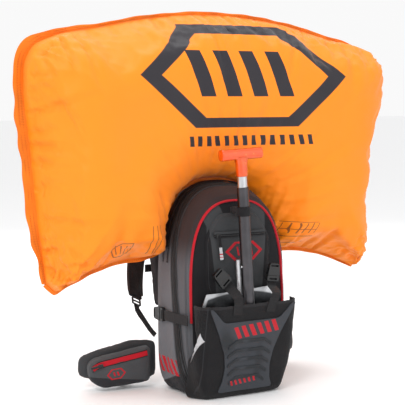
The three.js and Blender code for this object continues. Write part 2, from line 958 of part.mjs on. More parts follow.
// ---------------------------------------------------------------- pocket straps

// They stand far enough forward for the blade to pass behind them.
const leftBuckleAt = { x: -70, z: 304, turn: 42 };
const rightBuckleAt = { x: 84, z: 309, turn: -8 };
const pocketBuckleY = blade.y - blade.wall - buckleSize.thickness / 2 - 1;

function pocketBuckle(name, { x, z, turn }) {
  const centre = vec(x, pocketBuckleY, z);
  const angle = degrees(turn);
  buckle(name, centre, vec(Math.cos(angle), 0, Math.sin(angle)), vec(-Math.sin(angle), 0, Math.cos(angle)));
  return centre;
}
const leftBuckle = pocketBuckle("left_pocket", leftBuckleAt);
const rightBuckle = pocketBuckle("right_pocket", rightBuckleAt);

// From the tongue down over the pocket's upper edge, high enough above it for the tongue to be drawn out,
// and a little way down its outside.
function pocketWebbing(name, centre, turn, endX) {
  const along = vec(Math.sin(degrees(turn)), 0, -Math.cos(degrees(turn)));
  const outside = webbing.thickness / 2 + gap + 0.4;
  const crossZ = pocket.topZ + 3.5 - buckleTravel * along.z;
  const start = centre.clone().addScaledVector(along, buckleSize.length / 2 + 15);
  const line = [
    start,
    start.clone().addScaledVector(along, 8),
    vec(mix(start.x, endX, 0.6), pocketFrontAt(crossZ) - outside, crossZ),
    vec(mix(start.x, endX, 0.85), pocketFrontAt(pocket.topZ) - outside - 0.5, pocket.topZ),
    vec(endX, pocketFrontAt(webEndZ) - outside, webEndZ),
  ];
  const across = (t) => vec(1, 0, mix(Math.tan(degrees(turn)), 0, Math.min(1, 1.6 * t)));
  part(name, band(line, webbing.wide, webbing.thickness, across, 12), materials.webbing);
}
const webEndZ = 212;
pocketWebbing("left_pocket_webbing", leftBuckle, leftBuckleAt.turn, -43);
pocketWebbing("right_pocket_webbing", rightBuckle, rightBuckleAt.turn, 50);

// ---------------------------------------------------------------- the shovel

// Local z runs up the shaft: tilted to the left and leaning back.
function shovelFrame(x, y, z, lean) {
  const frame = new THREE.Group();
  frame.position.set(x, y, z);
  frame.quaternion.setFromUnitVectors(vec(0, 0, 1), vec(-shovel.tilt, lean, 1).normalize());
  group.add(frame);
  return frame;
}

const shaft = shovelFrame(shovel.footX, shovel.footY, shovel.footZ, shovel.lean);
const buttonHole = new THREE.CylinderGeometry(shovel.buttonRadius + 0.4, shovel.buttonRadius + 0.4, 20, 12)
  .rotateZ(Math.PI / 2)
  .translate(-shovel.shaftWidth / 2, 0, shovel.buttonZ);
part(
  "shovel_outer_shaft",
  cut(ovalTube(shovel.shaftWidth, shovel.shaftDepth, shovel.shaftLength, shovel.tubeWall), buttonHole),
  materials.gunmetal,
  shaft,
);

const innerWidth = shovel.shaftWidth - 2 * (shovel.tubeWall + shovel.innerClearance);
const innerDepth = shovel.shaftDepth - 2 * (shovel.tubeWall + shovel.innerClearance);
const innerLength = shovel.innerEngaged + shovel.innerShown;
part(
  "shovel_inner_shaft",
  moved(
    ovalTube(innerWidth, innerDepth, innerLength, shovel.tubeWall),
    0,
    0,
    shovel.shaftLength - shovel.innerEngaged,
  ),
  materials.silver,
  shaft,
);

// The grip's stem is a sleeve over the inner tube's end, and its bar is a hollow T.
function grip() {
  const foot = shovel.shaftLength + shovel.innerShown + gap;
  const stem = moved(ovalTube(innerWidth + 2, innerDepth + 2, shovel.stemLength), 0, 0, foot);
  const centre = foot + shovel.stemLength + shovel.gripRadius - 4;
  const bar = new THREE.CapsuleGeometry(shovel.gripRadius, shovel.gripWidth - 2 * shovel.gripRadius, 4, 16)
    .scale(1, 1, 0.85)
    .rotateZ(Math.PI / 2)
    .translate(0, 0, centre);
  return join(stem, bar);
}
part("shovel_grip", grip(), materials.orangePlastic, shaft);

const button = new THREE.CylinderGeometry(shovel.buttonRadius, shovel.buttonRadius, 8, 12)
  .rotateZ(Math.PI / 2)
  .translate(-shovel.shaftWidth / 2 + 1, 0, shovel.buttonZ);
part("shaft_button", button, materials.silver, shaft);

// The loop that holds the shaft's upper end: a ring round it, with a tab back to the pack. It stands further
// off the shaft on the button's side, so that the button passes through it.
const loop = {
  x: -1,
  z: 248,
  height: 22,
  wall: 2.6,
  clearance: 2.3,
  tabWidth: 26,
  tabHeight: 13,
  tabReach: 43,
};
function shaftLoop() {
  const grown = 2 * (loop.clearance + loop.wall);
  const passage = 2 * loop.clearance;
  const { shaftWidth, shaftDepth } = shovel;
  const ring = moved(ovalTube(shaftWidth + grown, shaftDepth + grown, loop.height), loop.x, 0, loop.z);
  const tabFrom = shaftDepth / 2 + loop.clearance + 1;
  const tabDepth = loop.tabReach - tabFrom;
  const tab = box(loop.tabWidth, tabDepth, loop.tabHeight, 0, tabFrom + tabDepth / 2, loop.z + loop.height / 2 + 3);
  return cut(join(ring, tab), moved(ovalTube(shaftWidth + passage, shaftDepth + passage, 400), loop.x, 0, 0));
}
part("shaft_loop", shaftLoop(), materials.blackCloth, shaft);

// The blade: a dished plate with folded sides and a socket for the shaft.
const bladeFrame = shovelFrame(blade.x, blade.y, blade.z, 0);
// The blade's half width at share t of its height: rounded at the cutting edge, widest at its middle.
function bladeHalfWidth(t) {
  const { lowHalfWidth, midHalfWidth, topHalfWidth, cornerInset } = blade;
  if (t < 0.12) return mix(lowHalfWidth - cornerInset, lowHalfWidth, Math.sqrt(t / 0.12));
  if (t < 0.62) return mix(lowHalfWidth, midHalfWidth, (t - 0.12) / 0.5);
  return mix(midHalfWidth, topHalfWidth, ((t - 0.62) / 0.38) ** 3);
}

// A closed sheet between two grids of points with as many rows and columns.
function slab(front, back) {
  const rows = front.length;
  const columns = front[0].length;
  const at = (sheet, r, c) => sheet * rows * columns + r * columns + c;
  const faces = [];
  const quad = (a, b, c, d) => faces.push(a, b, c, a, c, d);
  for (let r = 0; r + 1 < rows; r++)
    for (let c = 0; c + 1 < columns; c++) {
      quad(at(0, r, c), at(0, r, c + 1), at(0, r + 1, c + 1), at(0, r + 1, c));
      quad(at(1, r, c), at(1, r + 1, c), at(1, r + 1, c + 1), at(1, r, c + 1));
    }
  for (let r = 0; r + 1 < rows; r++) {
    quad(at(0, r, 0), at(0, r + 1, 0), at(1, r + 1, 0), at(1, r, 0));
    quad(at(0, r, columns - 1), at(1, r, columns - 1), at(1, r + 1, columns - 1), at(0, r + 1, columns - 1));
  }
  for (let c = 0; c + 1 < columns; c++) {
    quad(at(0, 0, c), at(1, 0, c), at(1, 0, c + 1), at(0, 0, c + 1));
    quad(at(0, rows - 1, c), at(0, rows - 1, c + 1), at(1, rows - 1, c + 1), at(1, rows - 1, c));
  }
  return outward([...front.flat(), ...back.flat()], faces);
}

function bladeSheet() {
  const rows = 10;
  const columns = 10;
  const grid = (y) =>
    Array.from({ length: rows + 1 }, (_, r) =>
      Array.from({ length: columns + 1 }, (_, c) => {
        const u = (2 * c) / columns - 1;
        const t = r / rows;
        return vec(u * bladeHalfWidth(t), blade.sideDepth * Math.abs(u) ** 3 + y, t * blade.height);
      }),
    );
  return slab(grid(-blade.wall / 2), grid(blade.wall / 2));
}
function bladeForm() {
  const socket = moved(
    ovalTube(blade.neckWidth, blade.neckDepth, blade.neckTop - blade.height + blade.neckOverlap),
    0,
    0,
    blade.height - blade.neckOverlap,
  );
  const bore = moved(
    ovalTube(blade.neckWidth - 4, blade.neckDepth - 4, 200),
    0,
    0,
    blade.height + 6,
  );
  return cut(join(bladeSheet(), socket), bore);
}
part("shovel_blade", bladeForm(), materials.silver, bladeFrame);

// ---------------------------------------------------------------- air system

// The outline of a lathe solid as radius and height pairs, closed on itself.
const turned = (profile, segments) =>
  new THREE.LatheGeometry(
    [...profile, profile[0]].map(([r, z]) => new THREE.Vector2(r, z)),
    segments,
  ).rotateX(Math.PI / 2);

function airCylinder() {
  const { radius, wall, bottomZ, length, neckRadius, boreRadius } = cylinder;
  const top = bottomZ + length;
  const inner = radius - wall;
  // Outside from the foot up to the neck, then down the bore and the inside.
  return turned(
    [
      [0, bottomZ],
      [radius * 0.62, bottomZ],
      [radius, bottomZ + 12],
      [radius, top - 42],
      [radius * 0.9, top - 28],
      [radius * 0.62, top - 17],
      [neckRadius, top - 12],
      [neckRadius, top],
      [boreRadius, top],
      [boreRadius, top - 14],
      [inner * 0.6, top - 23],
      [inner, top - 42],
      [inner, bottomZ + 14],
      [inner * 0.6, bottomZ + wall],
      [0, bottomZ + wall],
    ],
    16,
  );
}
const cylinderMesh = part("air_cylinder", airCylinder(), materials.cylinderPaint);
cylinderMesh.position.set(cylinder.x, cylinder.y, 0);

const valveZ = cylinder.bottomZ + cylinder.length + gap;
const valveForm = frontPlate(
  rounded(
    [
      [-valve.width / 2, 0],
      [valve.width / 2, 0],
      [valve.width / 2, valve.height],
      [-valve.width / 2, valve.height],
    ],
    6,
    3,
  ),
  valve.depth / 2,
  valve.depth,
  1.5,
);
part("valve_head", valveForm, materials.brass).position.set(cylinder.x, cylinder.y, valveZ);

const gaugeY = cylinder.y - valve.depth / 2 - gap;
const gaugeZ = valveZ + valve.height / 2;
// A shallow open cup: its face is recessed, so that the needle turns inside the rim.
function gaugeForm() {
  const { radius, depth } = gauge;
  return turned(
    [
      [0, 0],
      [radius, 0],
      [radius, depth],
      [radius - 2, depth],
      [radius - 2, depth - 4],
      [0, depth - 4],
    ],
    20,
  )
    .rotateX(Math.PI / 2)
    .translate(cylinder.x, gaugeY, gaugeZ);
}
part("pressure_gauge", gaugeForm(), materials.dial);

const needle = new THREE.Shape([
  new THREE.Vector2(-2, -4),
  new THREE.Vector2(2, -4),
  new THREE.Vector2(0.7, gauge.radius - 4),
  new THREE.Vector2(-0.7, gauge.radius - 4),
]);
part("gauge_needle", frontPlate(needle, 0, 1), materials.redTape).position.set(
  cylinder.x,
  gaugeY - gauge.depth + 4 - gap,
  gaugeZ,
);

function ejectorHousing() {
  const { radius, wall, bottomZ, topZ, windows } = ejector;
  const body = turned(
    [
      [radius - wall, bottomZ],
      [radius, bottomZ],
      [radius, topZ],
      [radius - wall, topZ],
    ],
    24,
  );
  const openings = Array.from({ length: windows }, (_, i) =>
    box(radius, 9, 30, radius, 0, topZ - 30).rotateZ((2 * Math.PI * (i + 0.5)) / windows),
  );
  return moved(cut(body, ...openings), ejector.x, ejector.y, 0);
}
part("ejector_housing", ejectorHousing(), materials.blackPlastic);

const flapForm = new THREE.CylinderGeometry(flap.radius, flap.radius, flap.thickness, 20).rotateX(Math.PI / 2);
part("check_flap", flapForm, materials.foam).position.set(ejector.x, ejector.y, flap.z);

// Pressure hose from the valve to the ejector, ending just short of its wall.
const hoseRadius = 4.5;
part(
  "pressure_hose",
  roundTube(
    [
      vec(cylinder.x, cylinder.y, valveZ + valve.height + gap),
      vec(cylinder.x - 2, cylinder.y, valveZ + valve.height + 40),
      vec(cylinder.x + 2, cylinder.y + 1, 372),
      vec(cylinder.x + 14, ejector.y - 1, 392),
      vec(ejector.x - ejector.radius - 9, ejector.y, 396),
      vec(ejector.x - ejector.radius - gap, ejector.y, 396),
    ],
    hoseRadius,
    20,
  ),
  materials.blackPlastic,
);

// The trigger's cable: from the valve, out through the port in the back and along the outside of the left strap.
const triggerTop = vec(-113, 236, 362);
part(
  "trigger_cable",
  roundTube(
    [
      vec(cylinder.x - valve.width / 2 - gap, cylinder.y, valveZ + 16),
      vec(cylinder.x - valve.width / 2 - 9, cylinder.y, valveZ + 17),
      vec(-97, 34, 292),
      vec(-101, 44, 350),
      vec(-88, 54, 420),
      vec(-62, 62, 454),
      vec(cablePort.x, bag.backY, cablePort.z),
      vec(-50, 108, 470),
      vec(-60, 142, 484),
      vec(-72, 184, 486),
      vec(-90, 218, 444),
      vec(-104, 234, 396),
      triggerTop,
    ],
    3,
    36,
  ),
  materials.blackPlastic,
);

// The T-handle hangs on the cable's end, in front of a sleeve on the strap.
const triggerFrame = new THREE.Group();
triggerFrame.position.copy(triggerTop);
triggerFrame.rotation.y = degrees(20);
group.add(triggerFrame);
const handle = join(
  frontPlate(
    rounded(
      [
        [-5, -22],
        [5, -22],
        [6, -4],
        [-6, -4],
      ],
      2,
      2,
    ),
    5,
    10,
    1.5,
  ),
  frontPlate(
    rounded(
      [
        [-27, -37],
        [27, -37],
        [27, -21],
        [-27, -21],
      ],
      7,
    ),
    6,
    12,
    2.5,
  ),
);
part("trigger_handle", handle, materials.redTape, triggerFrame);

// ---------------------------------------------------------------- the airbag

const airbagMidY = (x) => airbag.centreY - airbag.wingBackY * (x / airbag.halfWidth) ** 2;

// The seam's two sides as curves in x and z, from the left lower corner to the right one:
// the inner one along the lower edge and over the pack, and the outer one over the top.
function seamCurves() {
  const notch = bagOutline(-airbag.packClearance, bag.height, bag.bottomDip)
    .filter(([, z]) => z > airbag.lowEdgeZ)
    .reverse();
  const low = [
    [airbag.cornerLowX - 14, airbag.cornerLowZ + 2],
    [412, 281],
    [365, 299],
    [310, 314],
    [240, 326],
    [190, airbag.lowEdgeZ],
  ];
  const high = [
    [airbag.cornerLowX + 16, airbag.cornerLowZ + 24],
    [488, 430],
    [505, 600],
    [airbag.halfWidth - 2, 760],
    [airbag.halfWidth - 6, 815],
    [492, 858],
    [440, airbag.cornerTopZ + 4],
    [330, 907],
    [180, 935],
  ];
  const both = (half, middle) => [
    ...half.map(([x, z]) => vec(-x, 0, z)),
    ...middle.map(([x, z]) => vec(x, 0, z)),
    ...half.map(([x, z]) => vec(x, 0, z)).reverse(),
  ];
  return {
    inner: new THREE.CatmullRomCurve3(both(low, notch), false, "centripetal"),
    outer: new THREE.CatmullRomCurve3(both(high, [[0, airbag.topZ]]), false, "centripetal"),
  };
}
const seam = seamCurves();

// The point at share u along the bag and share v from the inner seam to the outer one.
const seamPoint = (u, v) => seam.inner.getPointAt(u).lerp(seam.outer.getPointAt(u), v);

function distanceTo(line, point) {
  let nearest = Infinity;
  for (let i = 0; i < line.length; i++) {
    const segment = new THREE.Line3(line[i], line[(i + 1) % line.length]);
    const close = segment.closestPointToPoint(point, true, vec(0, 0, 0));
    nearest = Math.min(nearest, close.distanceTo(point));
  }
  return nearest;
}

// A pillow over the seam's plan, whose half thickness grows from the seam like a quarter circle until it is full.
function pillow() {
  const { columns, rows, halfThickness } = airbag;
  const plan = [];
  for (let i = 0; i <= columns; i++) {
    const row = [];
    for (let j = 0; j <= rows; j++) row.push(seamPoint(i / columns, j / rows));
    plan.push(row);
  }
  const rim = [...plan.map((row) => row[0]), ...plan.map((row) => row[rows]).reverse()];
  const closed = (i, j) => j === 0 || j === rows || i === 0 || i === columns;
  const points = [];
  const indexOf = [[], []];
  [-1, 1].forEach((side, sheet) => {
    plan.forEach((row, i) => {
      indexOf[sheet].push([]);
      row.forEach((p, j) => {
        if (sheet === 1 && closed(i, j)) {
          indexOf[1][i].push(indexOf[0][i][j]);
          return;
        }
        const run = closed(i, j) ? 0 : Math.min(1, distanceTo(rim, p) / airbag.edgeRun);
        const half = halfThickness * Math.sqrt(1 - (1 - run) ** 2);
        indexOf[sheet][i].push(points.length);
        points.push(vec(p.x, airbagMidY(p.x) + side * half, p.z));
      });
    });
  });
  const faces = [];
  [0, 1].forEach((sheet) => {
    for (let i = 0; i < columns; i++)
      for (let j = 0; j < rows; j++) {
        const [a, b, c, d] = [
          indexOf[sheet][i][j],
          indexOf[sheet][i + 1][j],
          indexOf[sheet][i + 1][j + 1],
          indexOf[sheet][i][j + 1],
        ];
        faces.push(...(sheet ? [a, b, c, a, c, d] : [a, c, b, a, d, c]));
      }
  });
  return weld(points, faces);
}

// Merges points that lie together and drops the faces that this closes up.
function weld(points, faces) {
  const seen = new Map();
  const kept = [];
  const renamed = points.map((p) => {
    const key = [p.x, p.y, p.z].map((value) => Math.round(value * 100)).join();
    if (!seen.has(key)) seen.set(key, kept.push(p) - 1);
    return seen.get(key);
  });
  const open = [];
  for (let i = 0; i < faces.length; i += 3) {
    const [a, b, c] = [renamed[faces[i]], renamed[faces[i + 1]], renamed[faces[i + 2]]];
    if (a !== b && b !== c && c !== a) open.push(a, b, c);
  }
  return outward(kept, open);
}

// The same skin moved inwards, further along the seam, where its two sides meet at an edge.
function inwards(form, distance, seamDistance) {
  const inner = form.clone();
  inner.computeVertexNormals();
  const { position, normal } = inner.attributes;
  for (let i = 0; i < position.count; i++) {
    const onSeam = Math.abs(position.getY(i) - airbagMidY(position.getX(i))) < 0.01;
    const step = onSeam ? seamDistance : distance;
    position.setXYZ(
      i,
      position.getX(i) - step * normal.getX(i),
      position.getY(i) - step * normal.getY(i),
      position.getZ(i) - step * normal.getZ(i),
    );
  }
  return inner;
}

const inflatedSkin = pillow();
const inflated = cut(
  inflatedSkin,
  inwards(inflatedSkin, airbag.wall, 3 * airbag.wall),
  moved(ovalTube(neck.width - 2 * neck.wall, neck.depth - 2 * neck.wall, 30), 0, neck.y, bag.height - 4),
);
part("airbag", inflated, materials.orangeCloth);

// The fabric neck between the ejector and the airbag.
const neckTop = bag.height - 2;
part(
  "airbag_neck",
  moved(ovalTube(neck.width, neck.depth, neckTop - neck.bottomZ, neck.wall), 0, neck.y, neck.bottomZ),
  materials.orangeCloth,
);

// The open zip that the airbag burst through: a toothed edge over the top of the bag.
function burstZip() {
  const steps = 26;
  const line = [];
  const y = 22;
  for (let i = 0; i <= steps; i++) {
    const angle = mix(0.1, 0.9, i / steps) * Math.PI;
    const power = 2 / bag.archPower;
    line.push(
      vec(
        (bag.halfWidth + 2.6) * signedPower(Math.cos(angle), power),
        y,
        bag.waistZ + (bag.height + 2.6 - bag.waistZ) * signedPower(Math.sin(angle), power),
      ),
    );
  }
  return band(line, 9, 2.4, () => vec(0, 1, 0), steps);
}
part("burst_zip", burstZip(), materials.blackPlastic);

// The haul loop at the top of the back panel.
const haulY = bag.backY + 12;
part(
  "haul_loop",
  band(
    [
      vec(-26, haulY, 452),
      vec(-24, haulY, 474),
      vec(-10, haulY + 2, 492),
      vec(10, haulY + 2, 492),
      vec(24, haulY, 474),
      vec(26, haulY, 452),
    ],
    18,
    2.4,
    () => vec(0, 1, 0),
    20,
  ),
  materials.webbing,
);

export default group;
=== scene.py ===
# %% [markdown]
# # An avalanche airbag backpack, inflated
#
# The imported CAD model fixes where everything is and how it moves. This lesson dresses it: each cloth, foam,
# plastic or metal piece is worked out as a surface with numpy, and each finish is a small node material.

# %% The frame
import json
import math

import bmesh
import bpy
import numpy as np
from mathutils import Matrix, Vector
from mathutils.bvhtree import BVHTree


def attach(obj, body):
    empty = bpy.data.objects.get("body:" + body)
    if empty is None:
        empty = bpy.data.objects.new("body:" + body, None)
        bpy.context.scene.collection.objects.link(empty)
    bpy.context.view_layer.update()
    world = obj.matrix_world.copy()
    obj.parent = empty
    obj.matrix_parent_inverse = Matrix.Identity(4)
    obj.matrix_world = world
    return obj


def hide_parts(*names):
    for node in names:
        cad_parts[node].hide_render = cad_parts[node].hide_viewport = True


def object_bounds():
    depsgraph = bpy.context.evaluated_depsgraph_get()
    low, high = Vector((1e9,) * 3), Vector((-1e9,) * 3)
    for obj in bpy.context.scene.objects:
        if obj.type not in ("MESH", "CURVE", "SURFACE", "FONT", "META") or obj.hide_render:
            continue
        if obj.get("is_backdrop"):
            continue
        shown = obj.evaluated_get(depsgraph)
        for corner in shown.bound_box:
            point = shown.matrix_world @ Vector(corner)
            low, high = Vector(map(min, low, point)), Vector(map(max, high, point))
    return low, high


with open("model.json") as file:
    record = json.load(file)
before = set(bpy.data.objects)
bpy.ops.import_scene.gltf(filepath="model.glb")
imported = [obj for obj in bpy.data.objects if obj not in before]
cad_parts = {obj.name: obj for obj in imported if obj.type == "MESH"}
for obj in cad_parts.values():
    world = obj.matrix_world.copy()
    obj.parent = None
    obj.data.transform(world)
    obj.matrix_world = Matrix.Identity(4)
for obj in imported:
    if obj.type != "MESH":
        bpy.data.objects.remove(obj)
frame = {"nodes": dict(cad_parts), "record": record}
cad_box = [[float(value) for value in corner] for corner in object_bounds()]
print("CAD box", cad_box)

# %% [markdown]
# ## Camera, floor and light
#
# The pack was seen from in front and a little to its left, from just above the grip's height and from far
# away. The camera is placed by its distance and its turn round the pack, and dipped by the few degrees that
# bring the whole pack into the frame. Large soft lamps and a white surround stand in for a white studio.

# %% Camera, floor and light
VIEW_TURN = math.radians(31)
VIEW_DISTANCE = 3.05
DIP = math.radians(5.06)
EYE_HEIGHT = 0.74
LENS = 1222 / 405  # focal length in frame widths
SENSOR = 36
SHIFT = -0.045  # of the frame's width


def camera():
    """The eye at VIEW_DISTANCE from the pack's upright axis, dipped a little and turned with the view."""
    data = bpy.data.cameras.new("camera")
    data.sensor_width = SENSOR
    data.lens = LENS * SENSOR
    data.shift_x = SHIFT
    eye = bpy.data.objects.new("camera", data)
    eye.location = (-VIEW_DISTANCE * math.sin(VIEW_TURN), -VIEW_DISTANCE * math.cos(VIEW_TURN), EYE_HEIGHT)
    eye.rotation_euler = (math.pi / 2 - DIP, 0, -VIEW_TURN)
    bpy.context.scene.collection.objects.link(eye)
    bpy.context.scene.camera = eye


def floor():
    """A plain square on the ground."""
    mesh = bpy.data.meshes.new("floor")
    mesh.from_pydata([(-30, -30, 0), (30, -30, 0), (30, 30, 0), (-30, 30, 0)], [], [(0, 1, 2, 3)])
    ground = bpy.data.objects.new("floor", mesh)
    bpy.context.scene.collection.objects.link(ground)
    material = bpy.data.materials.new("pale_floor")
    material.use_nodes = True
    shader = material.node_tree.nodes["Principled BSDF"]
    shader.inputs["Base Color"].default_value = (0.93, 0.93, 0.935, 1)
    shader.inputs["Roughness"].default_value = 0.8
    mesh.materials.append(material)
    ground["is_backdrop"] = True


def lamp(name, place, size, power, aim=(0, 0, 0.45)):
    """A square area light at place, facing aim."""
    data = bpy.data.lights.new(name, "AREA")
    data.size = size
    data.energy = power
    light = bpy.data.objects.new(name, data)
    light.location = place
    light.rotation_euler = (Vector(aim) - Vector(place)).to_track_quat("-Z", "Y").to_euler()
    bpy.context.scene.collection.objects.link(light)


camera()
floor()
lamp("key_light", (-2.4, -1.9, 2.7), 1.3, 52)
lamp("fill_light", (1.9, -3.2, 1.3), 2.6, 16)
lamp("top_light", (0.2, 0.3, 3.2), 2.0, 30)
lamp("back_light", (0.8, 3.0, 1.7), 2.4, 30)
world = bpy.data.worlds.new("studio")
world.use_nodes = True
surround = world.node_tree.nodes["Background"].inputs
surround["Color"].default_value = (1, 1, 1, 1)
surround["Strength"].default_value = 0.95
bpy.context.scene.world = world
bpy.context.scene.view_settings.view_transform = "Standard"

# %% [markdown]
# ## Shader maths as expressions
#
# A finish is easier to read as a sum than as a web of nodes. `Sock` wraps one output socket, and its operators
# add the Math nodes. `Finish` starts a material and makes any other node from its type, settings and inputs.

# %% Shader maths


class Sock:
    """One output socket of a node tree, with arithmetic."""

    def __init__(self, finish, socket):
        self.finish = finish
        self.socket = socket

    def math(self, operation, *others):
        values = dict(enumerate((self, *others)))
        return self.finish.node("ShaderNodeMath", {"operation": operation}, values)

    def __add__(self, other):
        return self.math("ADD", other)

    __radd__ = __add__

    def __mul__(self, other):
        return self.math("MULTIPLY", other)

    __rmul__ = __mul__

    def __sub__(self, other):
        return self.math("SUBTRACT", other)

    def __rsub__(self, other):
        return self * -1 + other

    def __truediv__(self, other):
        return self.math("DIVIDE", other)

    def __gt__(self, other):
        return self.math("GREATER_THAN", other)

    def __lt__(self, other):
        return self.math("LESS_THAN", other)

    def abs(self):
        return self.math("ABSOLUTE")

    def sin(self):
        return self.math("SINE")

    def larger(self, other):
        return self.math("MAXIMUM", other)

    def smaller(self, other):
        return self.math("MINIMUM", other)

    def ramp(self, low, high, start=0.0, end=1.0):
        """Eases from start at low to end at high."""
        settings = {"interpolation_type": "SMOOTHSTEP"}
        values = {"Value": self, "From Min": low, "From Max": high, "To Min": start, "To Max": end}
        return self.finish.node("ShaderNodeMapRange", settings, values)


class Finish:
    """A material under construction, with its Principled shader."""

    def __init__(self, name, color, roughness=0.6, metallic=0.0, **constants):
        self.material = bpy.data.materials.new(name)
        self.material.use_nodes = True
        self.tree = self.material.node_tree
        self.shader = self.tree.nodes["Principled BSDF"]
        self.set(Base_Color=color, Roughness=roughness, Metallic=metallic, **constants)
        self.place = self.node("ShaderNodeTexCoord", {}, {}, "Object")

    def put(self, socket, value):
        if isinstance(value, Sock):
            self.tree.links.new(value.socket, socket)
        elif isinstance(value, (tuple, list)) and len(value) == 3 and len(socket.default_value) == 4:
            socket.default_value = (*value, 1)
        else:
            socket.default_value = value

    def node(self, kind, settings, values, output=0):
        """Makes a node: its settings first, then its sockets' values or links."""
        made = self.tree.nodes.new(kind)
        for name, value in settings.items():
            setattr(made, name, value)
        for name, value in values.items():
            self.put(made.inputs[name], value)
        return Sock(self, made.outputs[output])

    def set(self, **values):
        for name, value in values.items():
            self.put(self.shader.inputs[name.replace("_", " ")], value)

    def axes(self):
        split = self.node("ShaderNodeSeparateXYZ", {}, {0: self.place})
        return [Sock(self, output) for output in split.socket.node.outputs]

    def noise(self, scale, detail=3.0, vector=None):
        values = {"Vector": vector or self.place, "Scale": scale, "Detail": detail}
        return self.node("ShaderNodeTexNoise", {}, values, "Fac")

    def mix(self, share, first, second):
        """Blends two colours: a Mix node's sockets 6 and 7 are its colours, and its output 2 their blend."""
        return self.node("ShaderNodeMix", {"data_type": "RGBA"}, {0: share, 6: first, 7: second}, 2)

    def bump(self, height, distance):
        self.set(Normal=self.node("ShaderNodeBump", {}, {"Height": height, "Distance": distance, "Strength": 1.0}))


# %% [markdown]
# ## Surfaces from numpy grids
#
# Nearly every piece is a grid of points: two parameters for a free surface, or a section carried along a path.
# The grid is joined to faces in one step, and turned round if it came out inside out.

# %% Surfaces from numpy grids


def unit(vectors):
    """Each vector divided by its length."""
    return vectors / np.maximum(np.linalg.norm(vectors, axis=-1, keepdims=True), 1e-12)


def grid_faces(rows, columns, wrap=False, first=0):
    """Four-cornered faces of a grid numbered row by row; wrap joins its last column to its first."""
    r = np.arange(rows - 1)[:, None]
    c = np.arange(columns if wrap else columns - 1)[None, :]
    c2 = (c + 1) % columns
    corners = [r * columns + c, r * columns + c2, (r + 1) * columns + c2, (r + 1) * columns + c]
    return np.stack([np.broadcast_to(corner, (r.size, c.size)) for corner in corners], -1).reshape(-1, 4) + first


def piece(name, points, faces, body, finish, stands_for=(), slot=None, sharp=40):
    """A mesh riding on a body: doubles merged, faces outward, edges bent by more than sharp degrees kept."""
    mesh = bpy.data.meshes.new(name)
    mesh.from_pydata(np.asarray(points, float).reshape(-1, 3).tolist(), [], [list(face) for face in faces])
    work = bmesh.new()
    work.from_mesh(mesh)
    bmesh.ops.remove_doubles(work, verts=work.verts, dist=2e-6)
    bmesh.ops.recalc_face_normals(work, faces=work.faces)
    if work.calc_volume(signed=True) < 0:
        bmesh.ops.reverse_faces(work, faces=work.faces)
    for edge in work.edges:
        edge.smooth = len(edge.link_faces) != 2 or edge.calc_face_angle(0) < math.radians(sharp)
    for face in work.faces:
        face.smooth = True
    work.to_mesh(mesh)
    work.free()
    made = bpy.data.objects.new(name, mesh)
    bpy.context.scene.collection.objects.link(made)
    mesh.materials.append(finish.material)
    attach(made, body)
    if stands_for:
        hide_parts(*stands_for)
    return made


def laid_on(line, under, way, lift, span=5):
    """Points moved along a direction until they meet a piece, eased over span neighbours, then back by lift."""
    work = bmesh.new()
    work.from_mesh(under.data)
    tree = BVHTree.FromBMesh(work)
    hits = [tree.ray_cast(Vector(point), Vector(way)) for point in line]
    work.free()
    deep = np.array([np.nan if hit[0] is None else hit[3] for hit in hits])
    known = np.flatnonzero(~np.isnan(deep))
    deep = np.interp(np.arange(len(line)), known, deep[known])
    eased = np.convolve(np.pad(deep, span // 2, mode="edge"), np.ones(span) / span, "valid")
    return line + (np.minimum(eased, deep) - lift)[:, None] * np.asarray(way)


def spline(points, count):
    """count evenly spaced points on a smooth curve: Hermite cubics whose slopes weigh each side by its chord."""
    points = np.asarray(points, float)
    chord = np.linalg.norm(np.diff(points, axis=0), axis=1)[:, None]
    steps = np.diff(points, axis=0) / chord
    inner = (steps[:-1] * chord[1:] + steps[1:] * chord[:-1]) / (chord[1:] + chord[:-1])
    slopes = np.vstack([steps[:1], inner, steps[-1:]])
    fine = np.linspace(0, len(points) - 1, 40 * len(points))
    k = np.minimum(fine.astype(int), len(points) - 2)
    t = (fine - k)[:, None]
    a, b, m, n = points[k], points[k + 1], slopes[k] * chord[k], slopes[k + 1] * chord[k]
    curve = ((2 * t**3 - 3 * t**2 + 1) * a + (3 * t**2 - 2 * t**3) * b
             + (t**3 - 2 * t**2 + t) * m + (t**3 - t**2) * n)
    run = np.concatenate([[0], np.cumsum(np.linalg.norm(np.diff(curve, axis=0), axis=1))])
    return np.stack([np.interp(np.linspace(0, run[-1], count), run, axis) for axis in curve.T], -1)


def frames(path, across):
    """The direction along a path, the width direction made square to it, and the direction out of the band."""
    along = unit(np.gradient(path, axis=0))
    side = np.broadcast_to(np.asarray(across, float), path.shape)
    side = unit(side - np.sum(side * along, -1, keepdims=True) * along)
    return along, side, np.cross(along, side)


def rounded_section(width, thickness, corner=0.35, steps=4):
    """A rectangle with quarter-circle corners as [width, thickness] pairs; corner is a share of the thickness."""
    radius = corner * thickness
    turn = np.linspace(0, np.pi / 2, steps)
    arcs = []
    for quarter, (sx, sy) in enumerate([(1, 1), (-1, 1), (-1, -1), (1, -1)]):
        angle = turn + quarter * np.pi / 2
        middle = np.array([sx * (width / 2 - radius), sy * (thickness / 2 - radius)])
        arcs.append(middle + radius * np.stack([np.cos(angle), np.sin(angle)], -1))
    return np.concatenate(arcs)


def swept(name, path, section, across, body, finish, **words):
    """A closed section carried along a path: point = path + section x * side + section y * out, with flat ends."""
    _, side, out = frames(path, across)
    points = path[:, None] + section[None, :, 0, None] * side[:, None] + section[None, :, 1, None] * out[:, None]
    return tube(name, points, body, finish, **words)


